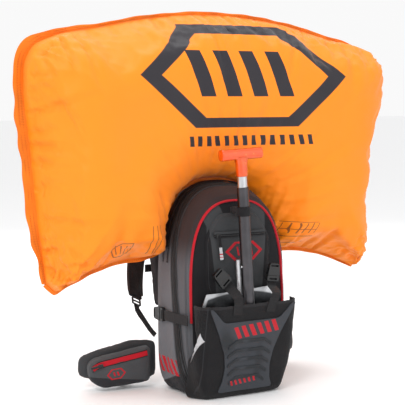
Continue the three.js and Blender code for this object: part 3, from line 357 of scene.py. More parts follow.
def tube(name, rings, body, finish, **words):
    """Closed rings of points joined in order, each end closed by a fan to the middle of its ring."""
    rows, columns = rings.shape[:2]
    total = rows * columns
    c = np.arange(columns)
    ends = [np.stack([np.full(columns, total + k), row + c, row + (c + 1) % columns], -1)
            for k, row in ((0, 0), (1, total - columns))]
    points = np.vstack([rings.reshape(-1, 3), rings[0].mean(0), rings[-1].mean(0)])
    faces = [*grid_faces(rows, columns, wrap=True).tolist(), *ends[0].tolist(), *ends[1].tolist()]
    return piece(name, points, faces, body, finish, **words)


CUBE = np.array([(a, b, c) for a in (-1, 1) for b in (-1, 1) for c in (-1, 1)], float)
CUBE_FACES = np.array([(0, 1, 3, 2), (4, 6, 7, 5), (0, 4, 5, 1), (2, 3, 7, 6), (0, 2, 6, 4), (1, 5, 7, 3)])


def dashes(name, path, across, size, pitch, body, finish, slot, lift=0.0):
    """A row of little blocks along a path, one every pitch: a line of stitching or the teeth of a zip."""
    length = np.linalg.norm(np.diff(path, axis=0), axis=1).sum()
    line = spline(path[:: max(1, len(path) // 80)], max(4, int(length / pitch)))
    along, side, out = frames(line, across)
    corners = (line + lift * out)[:, None] + sum((CUBE[None, :, k, None] * size[k] / 2) * axis[:, None]
                                                 for k, axis in enumerate((along, side, out)))
    faces = ((np.arange(len(line)) * 8)[:, None, None] + CUBE_FACES).reshape(-1, 4)
    return piece(name, corners, faces, body, finish, slot=slot)


def waves(points, scale, seed, octaves=3):
    """Smooth noise in -1 to 1: a sum of sines along seeded directions, each octave finer and weaker."""
    random = np.random.default_rng(seed)
    total = np.zeros(points.shape[:-1])
    for octave in range(octaves):
        for _ in range(5):
            direction = unit(random.normal(size=3)) * 2 * np.pi / scale * 1.9**octave
            total += np.sin(points @ direction + random.uniform(0, 2 * np.pi)) * 0.55**octave / 5
    return total


def ease(values, low, high):
    """0 below low, 1 above high, smooth between."""
    t = np.clip((values - low) / (high - low), 0, 1)
    return t * t * (3 - 2 * t)


FRAMES = 16  # steps of every cloth simulation


def swollen(name, points, faces, pressure, cap, held=None, grow=0.0):
    """Puffs a closed mesh with Blender's cloth and returns its points, none moved further than cap."""
    mesh = bpy.data.meshes.new(name)
    mesh.from_pydata(points.tolist(), [], np.asarray(faces).tolist())
    soft = bpy.data.objects.new(name, mesh)
    bpy.context.scene.collection.objects.link(soft)
    cloth = soft.modifiers.new("puff", "CLOTH")
    cloth.settings.effector_weights.gravity = 0
    cloth.settings.use_pressure = True
    cloth.settings.uniform_pressure_force = pressure
    cloth.settings.shrink_min = -grow
    cloth.settings.tension_stiffness = cloth.settings.compression_stiffness = 15
    cloth.settings.bending_stiffness = 0.3
    cloth.settings.quality = 5
    cloth.collision_settings.use_collision = False
    cloth.point_cache.frame_end = FRAMES
    if held is not None:
        group = soft.vertex_groups.new(name="held")
        group.add(np.flatnonzero(held).tolist(), 1.0, "REPLACE")
        cloth.settings.vertex_group_mass = "held"
    scene = bpy.context.scene
    for step in range(1, FRAMES + 1):
        scene.frame_set(step)
    result = soft.evaluated_get(bpy.context.evaluated_depsgraph_get()).data
    moved = np.empty(len(points) * 3)
    result.vertices.foreach_get("co", moved)
    scene.frame_set(1)
    bpy.data.objects.remove(soft)
    bpy.data.meshes.remove(mesh)
    shift = moved.reshape(-1, 3) - points
    size = np.linalg.norm(shift, axis=1, keepdims=True)
    print(name, "moved at most", round(float(size.max()) * 1000, 1), "mm before the cap")
    return points + shift * np.minimum(1, cap / np.maximum(size, 1e-9))


# %% [markdown]
# ## Finishes
#
# Cloth is a fine over-and-under weave, patchy where it has rubbed, a little darker in some threads. `cloth`
# makes every one of the pack's cloths from its colour, its thread width and how mottled it is. `moulding` and
# `metal` do the same for plastic and for tubes and sheet. Extra zones are painted in with masks.

# %% Finishes


def tint(color, share):
    """A colour made lighter (share above 1) or darker."""
    return tuple(min(1.0, c * share) for c in color)


def cloth(name, color, thread=0.0016, mottle=0.16, roughness=0.85, rise=0.00025, grain=0.1, sheen=0.08,
          zones=None):
    """Weave = (sin x + sin y) * sin z at the thread's pitch; colour wanders with slow noise and fine flecks."""
    made = Finish(name, color, roughness, Sheen_Weight=sheen, Sheen_Roughness=0.4, Specular_IOR_Level=0.3)
    x, y, z = made.axes()
    pitch = 2 * math.pi / thread
    weave = ((x * pitch).sin() + (y * pitch).sin()) * (z * pitch).sin()
    slow, fine = made.noise(14, 4), made.noise(900, 2)
    share = (slow - 0.5) * mottle * 4 + (fine - 0.5) * grain * 6 + weave * 0.06 + 0.5
    shade = made.mix(share, tint(color, 1 - mottle - grain), tint(color, 1 + mottle + grain))
    for mask, paint in zones(made, x, y, z) if zones else ():
        shade = made.mix(mask, shade, made.mix(share, tint(paint, 1 - mottle), tint(paint, 1 + mottle)))
    made.set(Base_Color=shade, Roughness=slow.ramp(0.3, 0.7, roughness - 0.08, roughness + 0.08))
    made.bump(weave * 0.5 + made.noise(220, 4) * 2, rise)
    return made


def moulding(name, color, roughness=0.45, **constants):
    """Moulded plastic: a fine spark-eroded grain, and dulled patches where hands and snow rub it."""
    made = Finish(name, color, roughness, **constants)
    worn = made.noise(60, 4)
    made.set(Base_Color=made.mix(worn.ramp(0.45, 0.75), color, tint(color, 1.45)),
             Roughness=worn.ramp(0.3, 0.7, roughness - 0.08, roughness + 0.14))
    made.bump(made.noise(1400, 2), 0.00008)
    return made


def metal(name, color, roughness=0.3, scratch=900):
    """Drawn or brushed metal: fine upright lines, with faint rubbed patches."""
    made = Finish(name, color, roughness, 1.0)
    squeezed = {0: made.place, 1: (scratch, scratch, 12)}
    lines = made.noise(1, 3, made.node("ShaderNodeVectorMath", {"operation": "MULTIPLY"}, squeezed))
    worn = made.noise(35, 5)
    made.set(Base_Color=made.mix(worn.ramp(0.35, 0.75), tint(color, 0.86), tint(color, 1.12)),
             Roughness=lines * 0.18 + worn.ramp(0.3, 0.7, roughness - 0.12, roughness))
    made.bump(lines, 0.00006)
    return made


def box_mask(made, value, low, high, soft=0.0008):
    """1 where a coordinate is between low and high."""
    return value.ramp(low - soft, low + soft) * value.ramp(high - soft, high + soft, 1.0, 0.0)


def bars_mask(made, x, z, box, pitch, lean, duty):
    """Slanted bars inside a box: the fraction of (x + lean z) / pitch below duty."""
    run = ((x + z * lean) / pitch).math("FRACT")
    left, right, low, high = box
    return (run < duty) * box_mask(made, x + z * lean, left, right) * box_mask(made, z, low, high)


def hex_mask(made, x, z, centre, size, stretch, ring):
    """A six-sided ring: its radius is the larger of |z| and half |z| + .87 |x|, with x squeezed by stretch."""
    dx = ((x - centre[0]) / stretch).abs()
    dz = (z - centre[1]).abs()
    radius = (dz * 0.5 + dx * 0.87).larger(dz)
    return box_mask(made, radius, size - ring, size)


GREY = (0.041, 0.043, 0.046)
HEATHER = (0.135, 0.138, 0.152)
BLACK = (0.0075, 0.007, 0.0085)
RED = (0.46, 0.0085, 0.019)
CHARCOAL = (0.0145, 0.0148, 0.018)
FOAM = (0.0125, 0.0118, 0.014)
grey_cloth = cloth("grey_cloth", GREY)
heather_cloth = cloth("heather_cloth", HEATHER, grain=0.22)
black_cloth = cloth("black_cloth", BLACK, mottle=0.25, rise=0.0004)
red_tape = cloth("red_tape", RED, thread=0.0022, mottle=0.1, sheen=0.1)
back_foam = cloth("mesh_over_foam", (0.012, 0.0115, 0.013), thread=0.0042, rise=0.0009, mottle=0.2)
webbing = cloth("webbing", (0.013, 0.0122, 0.0135), thread=0.0026, rise=0.0007, mottle=0.2)
black_plastic = moulding("black_plastic", (0.0075, 0.0075, 0.0082), 0.36)
moulded_panel = moulding("moulded_panel", (0.04, 0.046, 0.053), 0.6)
grip_plastic = moulding("grip_plastic", (0.95, 0.108, 0.003), 0.14, Transmission_Weight=0.35, Coat_Weight=0.5)
shaft_metal = metal("anodised_tube", (0.085, 0.082, 0.088), 0.34)
silver_metal = metal("brushed_aluminium", (0.6, 0.61, 0.63), 0.3)
blade_metal = metal("blade_metal", (0.5, 0.505, 0.52), 0.36, scratch=240)
cylinder_metal = metal("painted_cylinder", (0.14, 0.15, 0.17), 0.3)
brass = metal("machined_brass", (0.62, 0.42, 0.17), 0.25)
reflective = cloth("reflective_tape", (0.62, 0.63, 0.65), thread=0.0018, mottle=0.08, roughness=0.45)
dial = moulding("dial_enamel", (0.85, 0.85, 0.83), 0.3)
finishes = dict(grey_cloth=grey_cloth, heather_cloth=heather_cloth, black_cloth=black_cloth, red_tape=red_tape,
                back_foam=back_foam, webbing=webbing, black_plastic=black_plastic, moulded_panel=moulded_panel,
                grip_plastic=grip_plastic, shaft_metal=shaft_metal, silver_metal=silver_metal,
                cylinder_metal=cylinder_metal, brass=brass, reflective=reflective, dial=dial)
for subpart in frame["record"]["subparts"]:
    node = frame["nodes"][subpart["node"]]
    for place in node.material_slots:
        place.link = "OBJECT"
        place.material = finishes.get(subpart["material_slot"], grey_cloth).material

# %% [markdown]
# ## The airbag
#
# Two flat sheets of coated nylon are welded along one closed seam, a wide arch with a notch that fits over the
# pack. Air makes them a pillow: half its thickness follows a quarter ellipse over the distance from the seam.
# Flat cloth can't cover that shape, so it gathers along the seam in short sharp puckers. A cloth simulation
# with the seam held gives the large soft folds, and each pucker is then pressed in as a narrow valley with a
# raised rim, because the simulated grid is too coarse for them.

# %% Seam and pillow
BAG = dict(half=0.146, waist=0.25, top=0.52, front=-0.09, lean=0.035, back=0.084)


def signed_power(value, power):
    return np.sign(value) * np.abs(value) ** power


def bag_outline(angle, inset, top=0.52, dip=0.004, base=7.0):
    """Superellipse: x = half * cos^p, z = waist + rise * sin^p, flatter below the waist than above it."""
    power = np.where(np.sin(angle) > 0, 2 / 2.7, 2 / base)
    rise = np.where(np.sin(angle) > 0, top - inset - BAG["waist"], BAG["waist"] + dip - inset)
    x = (BAG["half"] - inset) * signed_power(np.cos(angle), power)
    return x, BAG["waist"] + rise * signed_power(np.sin(angle), power)


def mirrored(half):
    """Points of the left half, then the same mirrored to the right."""
    half = np.asarray(half, float) / 1000
    return np.vstack([half, half[::-1] * [-1, 1]])


low_edge = [(-436, 276), (-411, 287), (-365, 308), (-310, 325), (-240, 338), (-190, 341)]
high_edge = [(-468, 295), (-488, 430), (-505, 600), (-520, 760), (-516, 815), (-492, 858), (-440, 884),
             (-330, 907), (-180, 935), (-60, 947)]
notch_x, notch_z = bag_outline(np.linspace(np.pi, 0, 60), -0.009)
notch = np.stack([notch_x, notch_z], -1)[notch_z > 0.347]
edges = mirrored(low_edge)
inner_seam = spline(np.vstack([edges[:6], notch[::3], edges[6:]]), 360)
outer_seam = spline(mirrored(high_edge), 360)


def inset_curve(curve, distance):
    """A curve in the x, z plane moved towards the middle of the airbag."""
    along = unit(np.gradient(curve, axis=0))
    return curve + distance * np.stack([along[:, 1], -along[:, 0]], -1)


outer_seam = inset_curve(outer_seam, (0.011 + 0.012 * ease(outer_seam[:, 0], 0.2, 0.48))[:, None])
loop = np.vstack([outer_seam, spline([outer_seam[-1], inner_seam[-1]], 12)[1:-1], inner_seam[::-1],
                  spline([inner_seam[0], outer_seam[0]], 12)[1:-1]])
seam_run = np.concatenate([[0], np.cumsum(np.linalg.norm(np.diff(loop, axis=0), axis=1))])
print("airbag seam", round(seam_run[-1], 2), "m")


def seam_distance(flat):
    """Each point's distance from the seam, and where along the seam its nearest point is."""
    shape = flat.shape[:-1]
    flat = flat.reshape(-1, 2)
    away, place = np.empty(len(flat)), np.empty(len(flat))
    for start in range(0, len(flat), 8000):
        part = flat[start : start + 8000]
        gap = np.hypot(part[:, None, 0] - loop[None, :, 0], part[:, None, 1] - loop[None, :, 1])
        away[start : start + 8000] = gap.min(1)
        place[start : start + 8000] = seam_run[gap.argmin(1)]
    return away.reshape(shape), place.reshape(shape)


def seam_y(x):
    """The seam's plane bends forward at its ends: y = .052 - .02 (x / .522)^2."""
    return 0.052 - 0.02 * (x / 0.522) ** 2


def pillow(rows, columns):
    """Front and back sheets: y = seam_y -+ .131 sqrt(1 - (1 - d/.17)^2), d being the distance from the seam."""
    pick = np.linspace(0, 359, rows).round().astype(int)
    v = 0.5 - 0.5 * np.cos(np.linspace(0, np.pi, columns))
    v = (0.5 * v + 0.5 * np.linspace(0, 1, columns))[None, :, None]
    flat = inner_seam[pick][:, None] * (1 - v) + outer_seam[pick][:, None] * v
    away, _ = seam_distance(flat)
    rim = np.zeros(away.shape, bool)
    rim[[0, -1]] = rim[:, [0, -1]] = True
    away[rim] = 0
    thick = 0.131 * np.sqrt(1 - (1 - np.minimum(1, away / 0.17)) ** 2)
    x, z = flat[..., 0], flat[..., 1]
    return [np.stack([x, seam_y(x) + side * thick, z], -1) for side in (-1, 1)], rim


(front_sheet, back_sheet), seam_rim = pillow(181, 45)
count = seam_rim.size
front_index = np.arange(count).reshape(seam_rim.shape)
back_index = front_index.copy()
back_index[~seam_rim] = count + np.arange((~seam_rim).sum())
pillow_points = np.vstack([front_sheet.reshape(-1, 3), back_sheet[~seam_rim]])
cells = grid_faces(*seam_rim.shape)
pillow_faces = np.vstack([cells[:, ::-1], back_index.reshape(-1)[cells]])
held_rim = np.zeros(len(pillow_points), bool)
held_rim[:count] = seam_rim.reshape(-1)
pillow_points = swollen("airbag_sim", pillow_points, pillow_faces, 1.2, 0.011, held_rim, grow=0.05)
front_sheet, back_sheet = pillow_points[front_index], pillow_points[back_index]

# %% [markdown]
# ### Puckers
#
# Where flat cloth is welded along a curve and blown up, its spare length gathers in short valleys that start at
# the seam. A displacement texture would leave them out of the mesh, so they are heights worked out from each
# point's distance to the seam, on a grid made finer than the simulated one.

# %% Puckers along the seam


def finer(grid):
    """Twice as many points along the first axis: each new one is (9 (b + c) - (a + d)) / 16 of its neighbours."""
    ends = np.concatenate([2 * grid[:1] - grid[1:2], grid, 2 * grid[-1:] - grid[-2:-1]])
    between = (9 * (ends[1:-2] + ends[2:-1]) - ends[:-3] - ends[3:]) / 16
    made = np.empty((2 * len(grid) - 1, *grid.shape[1:]))
    made[::2], made[1::2] = grid, between
    return made


def grid_normals(grid):
    """Unit normals of a grid from the cross product of its two directions."""
    return unit(np.cross(np.gradient(grid, axis=0), np.gradient(grid, axis=1)))


def pucker_heights(away, place, side):
    """Sum of narrow valleys that start at the seam: hat((s - s0) / w) fading with (d / length)^2, seeded."""
    random = np.random.default_rng(31 + side)
    height = np.zeros(away.shape)
    spots = np.cumsum(random.uniform(0.022, 0.075, 110))
    for spot in spots[spots < seam_run[-1]]:
        wide = random.uniform(0.0045, 0.009)
        length = random.uniform(0.03, 0.09) * (1.7 if random.random() < 0.25 else 1)
        deep = random.uniform(0.0028, 0.0072)
        lean = random.uniform(-0.35, 0.35)
        across = (place - spot + lean * away) / (wide * (0.7 + 2.2 * away / length))
        height -= deep * (1 - across**2) * np.exp(-(across**2) / 2 - (away / length) ** 2) * ease(away, 0, 0.006)
    return height


sheets = []
for side, sheet in ((-1, front_sheet), (1, back_sheet)):
    grid = finer(np.swapaxes(finer(np.swapaxes(sheet, 0, 1)), 0, 1))
    away, place = seam_distance(grid[..., [0, 2]])
    normals = grid_normals(grid)
    normals *= np.sign(normals[..., 1:2].mean()) * side
    x, z = grid[..., 0], grid[..., 2]
    over_pack = np.hypot(x, z - 0.42)
    turn = np.arctan2(x, z - 0.42)
    rays = np.exp(-(((over_pack - 0.24) / 0.1) ** 2)) * (np.cos(turn * 34) + 0.6 * np.cos(turn * 57 + 1))
    calm = (1 - 0.6 * ease(x, 0.3, 0.46)) * (0.4 + 0.6 * ease(over_pack, 0.22, 0.32))
    lift = pucker_heights(away, place, side) * calm + 0.0011 * rays * ease(away, 0.01, 0.05)
    lift += 0.0022 * waves(grid, 0.16, 5, 3) * ease(away, 0.02, 0.12)
    lift += 0.0016 * waves(grid * [1, 1, 3.2], 0.05, 9, 2) * np.exp(-((away - 0.03) / 0.03) ** 2)
    for k, (corner_x, corner_z) in enumerate(((-0.5, 0.855), (0.5, 0.855), (-0.45, 0.285), (0.45, 0.285))):
        bearing = np.arctan2(z - corner_z, x - corner_x)
        fan = np.cos(bearing * 17 + k + side) + 0.5 * np.cos(bearing * 29 + k)
        near = np.exp(-((np.hypot(x - corner_x, z - corner_z) / 0.1) ** 2))
        lift += 0.0026 * fan * near * ease(away, 0.003, 0.02)
    lift[[0, -1]] = lift[:, [0, -1]] = 0
    sheets.append(grid + lift[..., None] * normals)
rows, columns = sheets[0].shape[:2]
faces = np.vstack([grid_faces(rows, columns), grid_faces(rows, columns, first=rows * columns)])


def airbag_marks(made, x, y, z):
    """Plain printed shapes on the front sheet only: a long six-sided ring round slanted bars, a row of short
    bars, and two small line symbols."""
    facing = y < 0.03
    ring = hex_mask(made, x, z, (0.025, 0.785), 0.125, 2.05, 0.024)
    inside = bars_mask(made, x, z, (0.145, 0.43, 0.735, 0.845), 0.075, 0.35, 0.55)
    row = bars_mask(made, x, z, (0.04, 0.41, 0.615, 0.64), 0.026, 0.3, 0.5)
    small_ring = hex_mask(made, x, z, (-0.29, 0.372), 0.02, 1.15, 0.0022)
    stroke = bars_mask(made, x, z, (-0.121, -0.087, 0.36, 0.385), 0.011, 0.5, 0.22)
    left_bars = bars_mask(made, x, z, (-0.135, -0.095, 0.355, 0.43), 0.014, 0.25, 0.16)
    right_bars = bars_mask(made, x, z, (0.05, 0.13, 0.385, 0.412), 0.016, -0.3, 0.2)
    lines = bars_mask(made, z, x, (0.36, 0.43, 0.168, 0.25), 0.019, 0.02, 0.08)
    marks = ring + inside + row
    fine = small_ring + stroke + left_bars + right_bars + lines
    dark = (0.022, 0.019, 0.024)
    return [(marks.smaller(1) * facing, dark), (fine.smaller(1) * facing * 0.8, (0.1, 0.04, 0.02))]


ORANGE = (1.0, 0.25, 0.007)
airbag_cloth = cloth("airbag_cloth", ORANGE, thread=0.0018, mottle=0.05, roughness=0.5, rise=0.00012, grain=0.01,
                     sheen=0.1, zones=airbag_marks)
airbag = piece("airbag_pillow", np.stack(sheets), faces, "rear_pack", airbag_cloth, ["airbag"], "airbag_cloth", 80)

# %% [markdown]
# ### The seam's flange
#
# Outside the weld a strip of both sheets is left over, a centimetre or two wide, and it ripples. It is a thin
# closed band carried round the seam, six points across, and narrow in the notch.

# %% The seam's flange
turned = np.vstack([loop, loop[:1]])
along = unit(np.gradient(turned, axis=0))
outward = np.stack([-along[:, 1], along[:, 0]], -1)
run = np.concatenate([seam_run, [seam_run[-1]]])
inside_notch = (np.abs(turned[:, 0]) < 0.2) & (turned[:, 1] < 0.6)
reach = np.where(inside_notch, 0.0085, 0.0165 + 0.0022 * np.sin(run * 61) * np.sin(run * 23 + 1))
reach *= 1 - 0.5 * ease(turned[:, 0], 0.25, 0.45)
reach *= 1 - 0.45 * ease(0.4 - turned[:, 1], 0, 0.06) * ~inside_notch
reach *= (1 + 0.5 * ease(-turned[:, 0], 0.42, 0.5)) * (1 - 0.5 * ease(turned[:, 1], 0.86, 0.91))
middle = seam_y(turned[:, 0])
sway = 0.0035 * np.sin(run * 74) * np.sin(run * 29)
layers = []
for share, rise in ((-0.25, 0.0008), (0.35, 0.0016), (1, 0.0009), (1, -0.0009), (0.35, -0.0016), (-0.25, -0.0008)):
    flat = turned + outward * (reach * share)[:, None]
    layers.append(np.stack([flat[:, 0], middle + rise + sway * max(share, 0), flat[:, 1]], -1))
rings = np.stack(layers, 1)
flange_cloth = cloth("airbag_seam_cloth", (0.85, 0.185, 0.006), thread=0.006, mottle=0.24, roughness=0.55,
                     rise=0.0005)
piece("airbag_seam_flange", rings, grid_faces(len(rings), 6, wrap=True), "rear_pack", flange_cloth,
      slot="airbag_cloth")


# %% [markdown]
# ## From CAD node to real piece
#
# Many small parts already have the right shape and only lack what a mould or a needle adds. Two helpers dress
# a merged copy of such a node. `refined` is for hard parts: it rounds the edges with a bevel, as every mould
# does. `softened` is for cloth and foam: it cuts the faces small, or remeshes and puffs them with a cloth
# simulation, relaxes the edges, and adds wrinkles.

# %% Dressed copies of CAD nodes
body_of = {node: body for body, nodes in frame["record"]["behaviour"]["bodies"].items() for node in nodes}
slot_of = {subpart["node"]: subpart["material_slot"] for subpart in frame["record"]["subparts"]}


def merged_copy(node):
    """A CAD node's triangles as a bmesh with its doubles merged."""
    work = bmesh.new()
    work.from_mesh(frame["nodes"][node].data)
    bmesh.ops.remove_doubles(work, verts=work.verts, dist=1e-5)
    return work


def arrays(work):
    """A bmesh's points and triangles as arrays, the bmesh being freed."""
    bmesh.ops.triangulate(work, faces=work.faces)
    points = np.array([vertex.co for vertex in work.verts])
    faces = np.array([[vertex.index for vertex in face.verts] for face in work.faces])
    work.free()
    return points, faces


def refined(node, finish, bevel=0.0007, sharp=28):
    """A hard part: flat triangles joined to whole faces, and its edges bevelled."""
    work = merged_copy(node)
    bmesh.ops.dissolve_limit(work, angle_limit=math.radians(1), verts=work.verts, edges=work.edges)
    points = [tuple(vertex.co) for vertex in work.verts]
    faces = [[vertex.index for vertex in face.verts] for face in work.faces]
    work.free()
    made = piece(node + "_moulded", points, faces, body_of[node], finish, [node], slot_of[node], sharp)
    if bevel:
        edge = made.modifiers.new("edge", "BEVEL")
        edge.width = bevel
        edge.segments = 2
        edge.angle_limit = math.radians(sharp)
        edge.harden_normals = True
    return made


def neighbours(count, faces):
    """The edges of a mesh as two index arrays, both ways round."""
    pairs = np.vstack([faces[:, [0, 1]], faces[:, [1, 2]], faces[:, [2, 0]]])
    pairs = np.unique(np.sort(pairs, axis=1), axis=0)
    return np.concatenate([pairs[:, 0], pairs[:, 1]]), np.concatenate([pairs[:, 1], pairs[:, 0]])


def relaxed(points, faces, rounds, share=0.5):
    """Each point moves part of the way to the mean of its neighbours, then a little less back, round by round."""
    a, b = neighbours(len(points), faces)
    degree = np.bincount(a, minlength=len(points))[:, None]
    for _ in range(rounds):
        for step in (share, -share * 1.04):
            mean = np.stack([np.bincount(a, points[b, axis], len(points)) for axis in range(3)], -1) / degree
            points = points + step * (mean - points)
    return points


def point_normals(points, faces):
    """Area-weighted normals at the points of a triangle mesh."""
    a, b, c = (points[faces[:, k]] for k in range(3))
    cross = np.cross(b - a, c - a)
    return unit(np.stack([sum(np.bincount(faces[:, k], cross[:, axis], len(points)) for k in range(3))
                          for axis in range(3)], -1))


def remeshed(points, faces, voxel):
    """The same closed shape on an even grid of the given size."""
    mesh = bpy.data.meshes.new("remeshed")
    mesh.from_pydata(points.tolist(), [], faces.tolist())
    made = bpy.data.objects.new("remeshed", mesh)
    bpy.context.scene.collection.objects.link(made)
    change = made.modifiers.new("grid", "REMESH")
    change.mode = "VOXEL"
    change.voxel_size = voxel
    result = made.evaluated_get(bpy.context.evaluated_depsgraph_get())
    work = bmesh.new()
    work.from_mesh(result.to_mesh())
    bpy.data.objects.remove(made)
    return arrays(work)


def softened(node, finish, edge=0.007, wrinkle=0.0006, scale=0.05, rounds=2, voxel=None, puff=0.0, shrink=0.0,
             seed=3, fill=None, name=None, shape=None, sharp=70):
    """A soft part from a CAD node: small faces or an even grid, relaxed, puffed, wrinkled along normals."""
    work = merged_copy(node)
    for _ in range(0 if voxel else 7):
        long = [e for e in work.edges if e.calc_length() > edge]
        if not long:
            break
        bmesh.ops.subdivide_edges(work, edges=long, cuts=1)
        bmesh.ops.triangulate(work, faces=work.faces)
    points, faces = arrays(work)
    if voxel:
        points, faces = remeshed(points, faces, voxel)
    points = relaxed(points, faces, rounds)
    if shrink:
        points = points - shrink * point_normals(points, faces)
    if puff:
        points = swollen(node + "_puff", points, faces, 4.0, puff)
        points = relaxed(points, faces, 1)
    normals = point_normals(points, faces)
    points = points + (wrinkle * waves(points, scale, seed, 3))[:, None] * normals
    if shape:
        points = shape(points, normals)
    made = piece(name or node + "_sewn", points, faces, body_of[node], finish, [node], slot_of[node], sharp)
    return made


for node in frame["nodes"]:
    if "buckle" in node or node.endswith("adjuster"):
        refined(node, black_plastic, 0.0006)
for node, finish, bevel in (("pressure_gauge", dial, 0.0008), ("valve_head", brass, 0.001),
                            ("trigger_handle", grip_plastic, 0.001), ("front_zip_slider", black_plastic, 0.0005),
                            ("hip_pouch_slider", black_plastic, 0.0005), ("shaft_button", silver_metal, 0.0004)):
    refined(node, finish, bevel)
for node in frame["nodes"]:
    if node.endswith("webbing"):
        softened(node, webbing, edge=0.006, wrinkle=0.00025, scale=0.03, rounds=0, sharp=50)

# %% [markdown]
# ## The bag
#
# The bag is sewn from flat panels round two zipped rims, so it is a rounded box whose section is a superellipse
# that draws in towards its front and back. `bag_surface` gives a point for an angle round the bag and a share
# of the way through it. The slanted zip cuts each line at its own share, so each half is drawn as its own grid
# that ends exactly on the zip, and gets its lining from Solidify.

# %% The two halves
stations = spline([(0, 0.024), (0.03, 0.011), (0.14, 0.0015), (0.6, 0), (0.88, 0.003), (0.97, 0.012), (1, 0.026)],
                  300)


def front_at(z):
    return BAG["front"] + BAG["lean"] * z


def bag_surface(angle, share, grow=0.0):
    """x, z from the outline drawn in by the station's inset; y runs from the leaning front to the flat back."""
    inset = np.interp(share, stations[:, 0], stations[:, 1]) - grow
    top = 0.495 + 0.025 * np.minimum(1, share / 0.6)
    x, z = bag_outline(angle, inset, top, base=3.9 + 3.1 * ease(share, 0, 0.75))
    z = np.maximum(z, 0)
    return np.stack([x, front_at(z) * (1 - share) + BAG["back"] * share, z], -1)


def zip_share(angle, offset=0.0):
    """The share at which a line round the bag meets the slanted zip plane, by repeated substitution."""
    share = np.full(angle.shape, 0.2)
    for _ in range(12):
        z = bag_surface(angle, share)[..., 2]
        share = (-0.062 + offset + 0.12 * z - front_at(z)) / (BAG["back"] - front_at(z))
    return share


def bag_half(name, body, finish, node, ends, rows, wrinkles, around=260):
    """One half: a wall from the zip to a face, which closes by rings drawn in to its middle."""
    angle = np.linspace(0, 2 * np.pi, around, endpoint=False) - np.pi / 2
    zipped = zip_share(angle, ends[0])
    share = zipped + (ends[1] - zipped) * (0.5 - 0.5 * np.cos(np.linspace(0, np.pi, rows)))[:, None]
    wall = bag_surface(angle[None, :], share)
    rings = np.linspace(1, 0, 18)[1:, None, None]
    middle = np.array([0, wall[-1, :, 1].mean(), 0.25])
    cap = middle + (wall[-1] - middle) * rings
    cap[..., 1] = front_at(cap[..., 2]) if ends[1] == 0 else BAG["back"]
    grid = np.concatenate([wall, cap])
    normals = grid_normals(np.concatenate([grid, grid[:, :1]], 1))[:, :-1]
    outward = grid - [0, 0, 0.25]
    normals *= np.sign(np.sum(normals[: rows - 1] * outward[: rows - 1]))
    height = wrinkles(grid) * (grid[..., 2] > 0.002)
    height[0] = 0
    points = grid + height[..., None] * normals
    made = piece(name, points, grid_faces(*grid.shape[:2], wrap=True), body, finish, [node], slot_of[node], 60)
    lining = made.modifiers.new("lining", "SOLIDIFY")
    lining.thickness = 0.0025
    lining.offset = -1
    return made


def rear_wrinkles(grid):
    """Long upright folds on the sides, and short ones that run away from the zip."""
    side = ease(np.abs(grid[..., 0]), 0.09, 0.13) * ease(0.075 - grid[..., 1], 0, 0.03)
    tall = 0.0026 * waves(grid * [1, 1.4, 0.3], 0.07, 11, 2) + 0.0011 * waves(grid * [1, 1, 1.6], 0.03, 12, 2)
    return tall * side - 0.0006


def front_wrinkles(grid):
    """Soft dents beside the front pocket, where the cloth hangs from the piping."""
    side = ease(np.abs(grid[..., 0]), 0.1, 0.135)
    face = (1 - side) * ease(np.abs(grid[..., 0]), 0.02, 0.1) * 0.5
    return (0.0018 * side + 0.0012 * face) * waves(grid * [1.3, 1, 0.6], 0.06, 21, 3) - 0.0004


# Painted shade under the airbag, with a painted reddish reflection of it, for the top of the bag's sides.
CROWN_SHADE_AND_REFLECTION = (0.031, 0.017, 0.0155)


def rear_zones(made, x, y, z):
    """A charcoal base that climbs forwards, painted shade with a painted reddish reflection of the airbag on the
    crown by the burst zip, red slanted bars low down.
    """
    base = (z + y * 0.36 - 0.043).ramp(-0.002, 0.002, 1, 0)
    # The crown mask paints the airbag's shade and its reddish reflection.
    crown = (z + y * 0.3 - 0.37).ramp(-0.03, 0.06) * 0.9
    bars = bars_mask(made, y * -1, z, (-0.031, 0.0835, 0.05, 0.09), 0.023, 0.5, 0.62) * (x < -0.1)
    return [(base, CHARCOAL), (crown, CROWN_SHADE_AND_REFLECTION), (bars, RED)]


def front_zones(made, x, y, z):
    """Black inserts beside the front pocket, a black wedge behind the shaft, heather sides beyond the piping, with
    painted shade and a painted reddish airbag reflection at the sides' crown.
    """
    side = (y - z * 0.035).ramp(-0.0875, -0.0865)
    # The crown mask paints the airbag's shade and its reddish reflection on the sides.
    crown = (z - 0.34).ramp(-0.03, 0.06) * 0.9
    left = (x + 0.085 + (z - 0.42).larger(0) * 0.5).ramp(-0.001, 0.001, 1, 0)
    right = x.ramp(0.082, 0.084) * (z < 0.46)
    wedge = ((x + 0.012).abs() - (z - 0.41) * 0.5 - 0.006).ramp(-0.001, 0.001, 1, 0) * (z > 0.405)
    base = (z - 0.055).ramp(-0.002, 0.002, 1, 0)
    black = (left + right + wedge).smaller(1)
    return [(black, BLACK), (side, tint(HEATHER, 0.72)), (side * crown, CROWN_SHADE_AND_REFLECTION), (base, CHARCOAL)]


side_cloth = cloth("side_cloth", HEATHER, grain=0.26, thread=0.0014, zones=rear_zones)
face_cloth = cloth("face_cloth", GREY, zones=front_zones)
bag_half("rear_half", "rear_pack", side_cloth, "rear_shell", (0.0008, 1), 22, rear_wrinkles)
bag_half("front_half", "front_pack", face_cloth, "front_shell", (-0.0008, 0), 14, front_wrinkles)

# %% [markdown]
# ### Zip, piping and seams
#
# A coil zip runs round the bag where its halves meet. Each half owns one tape, one row of teeth and one seam, so
# they part when the bag opens. Each is a small section carried along the line where the slanted zip meets the bag.

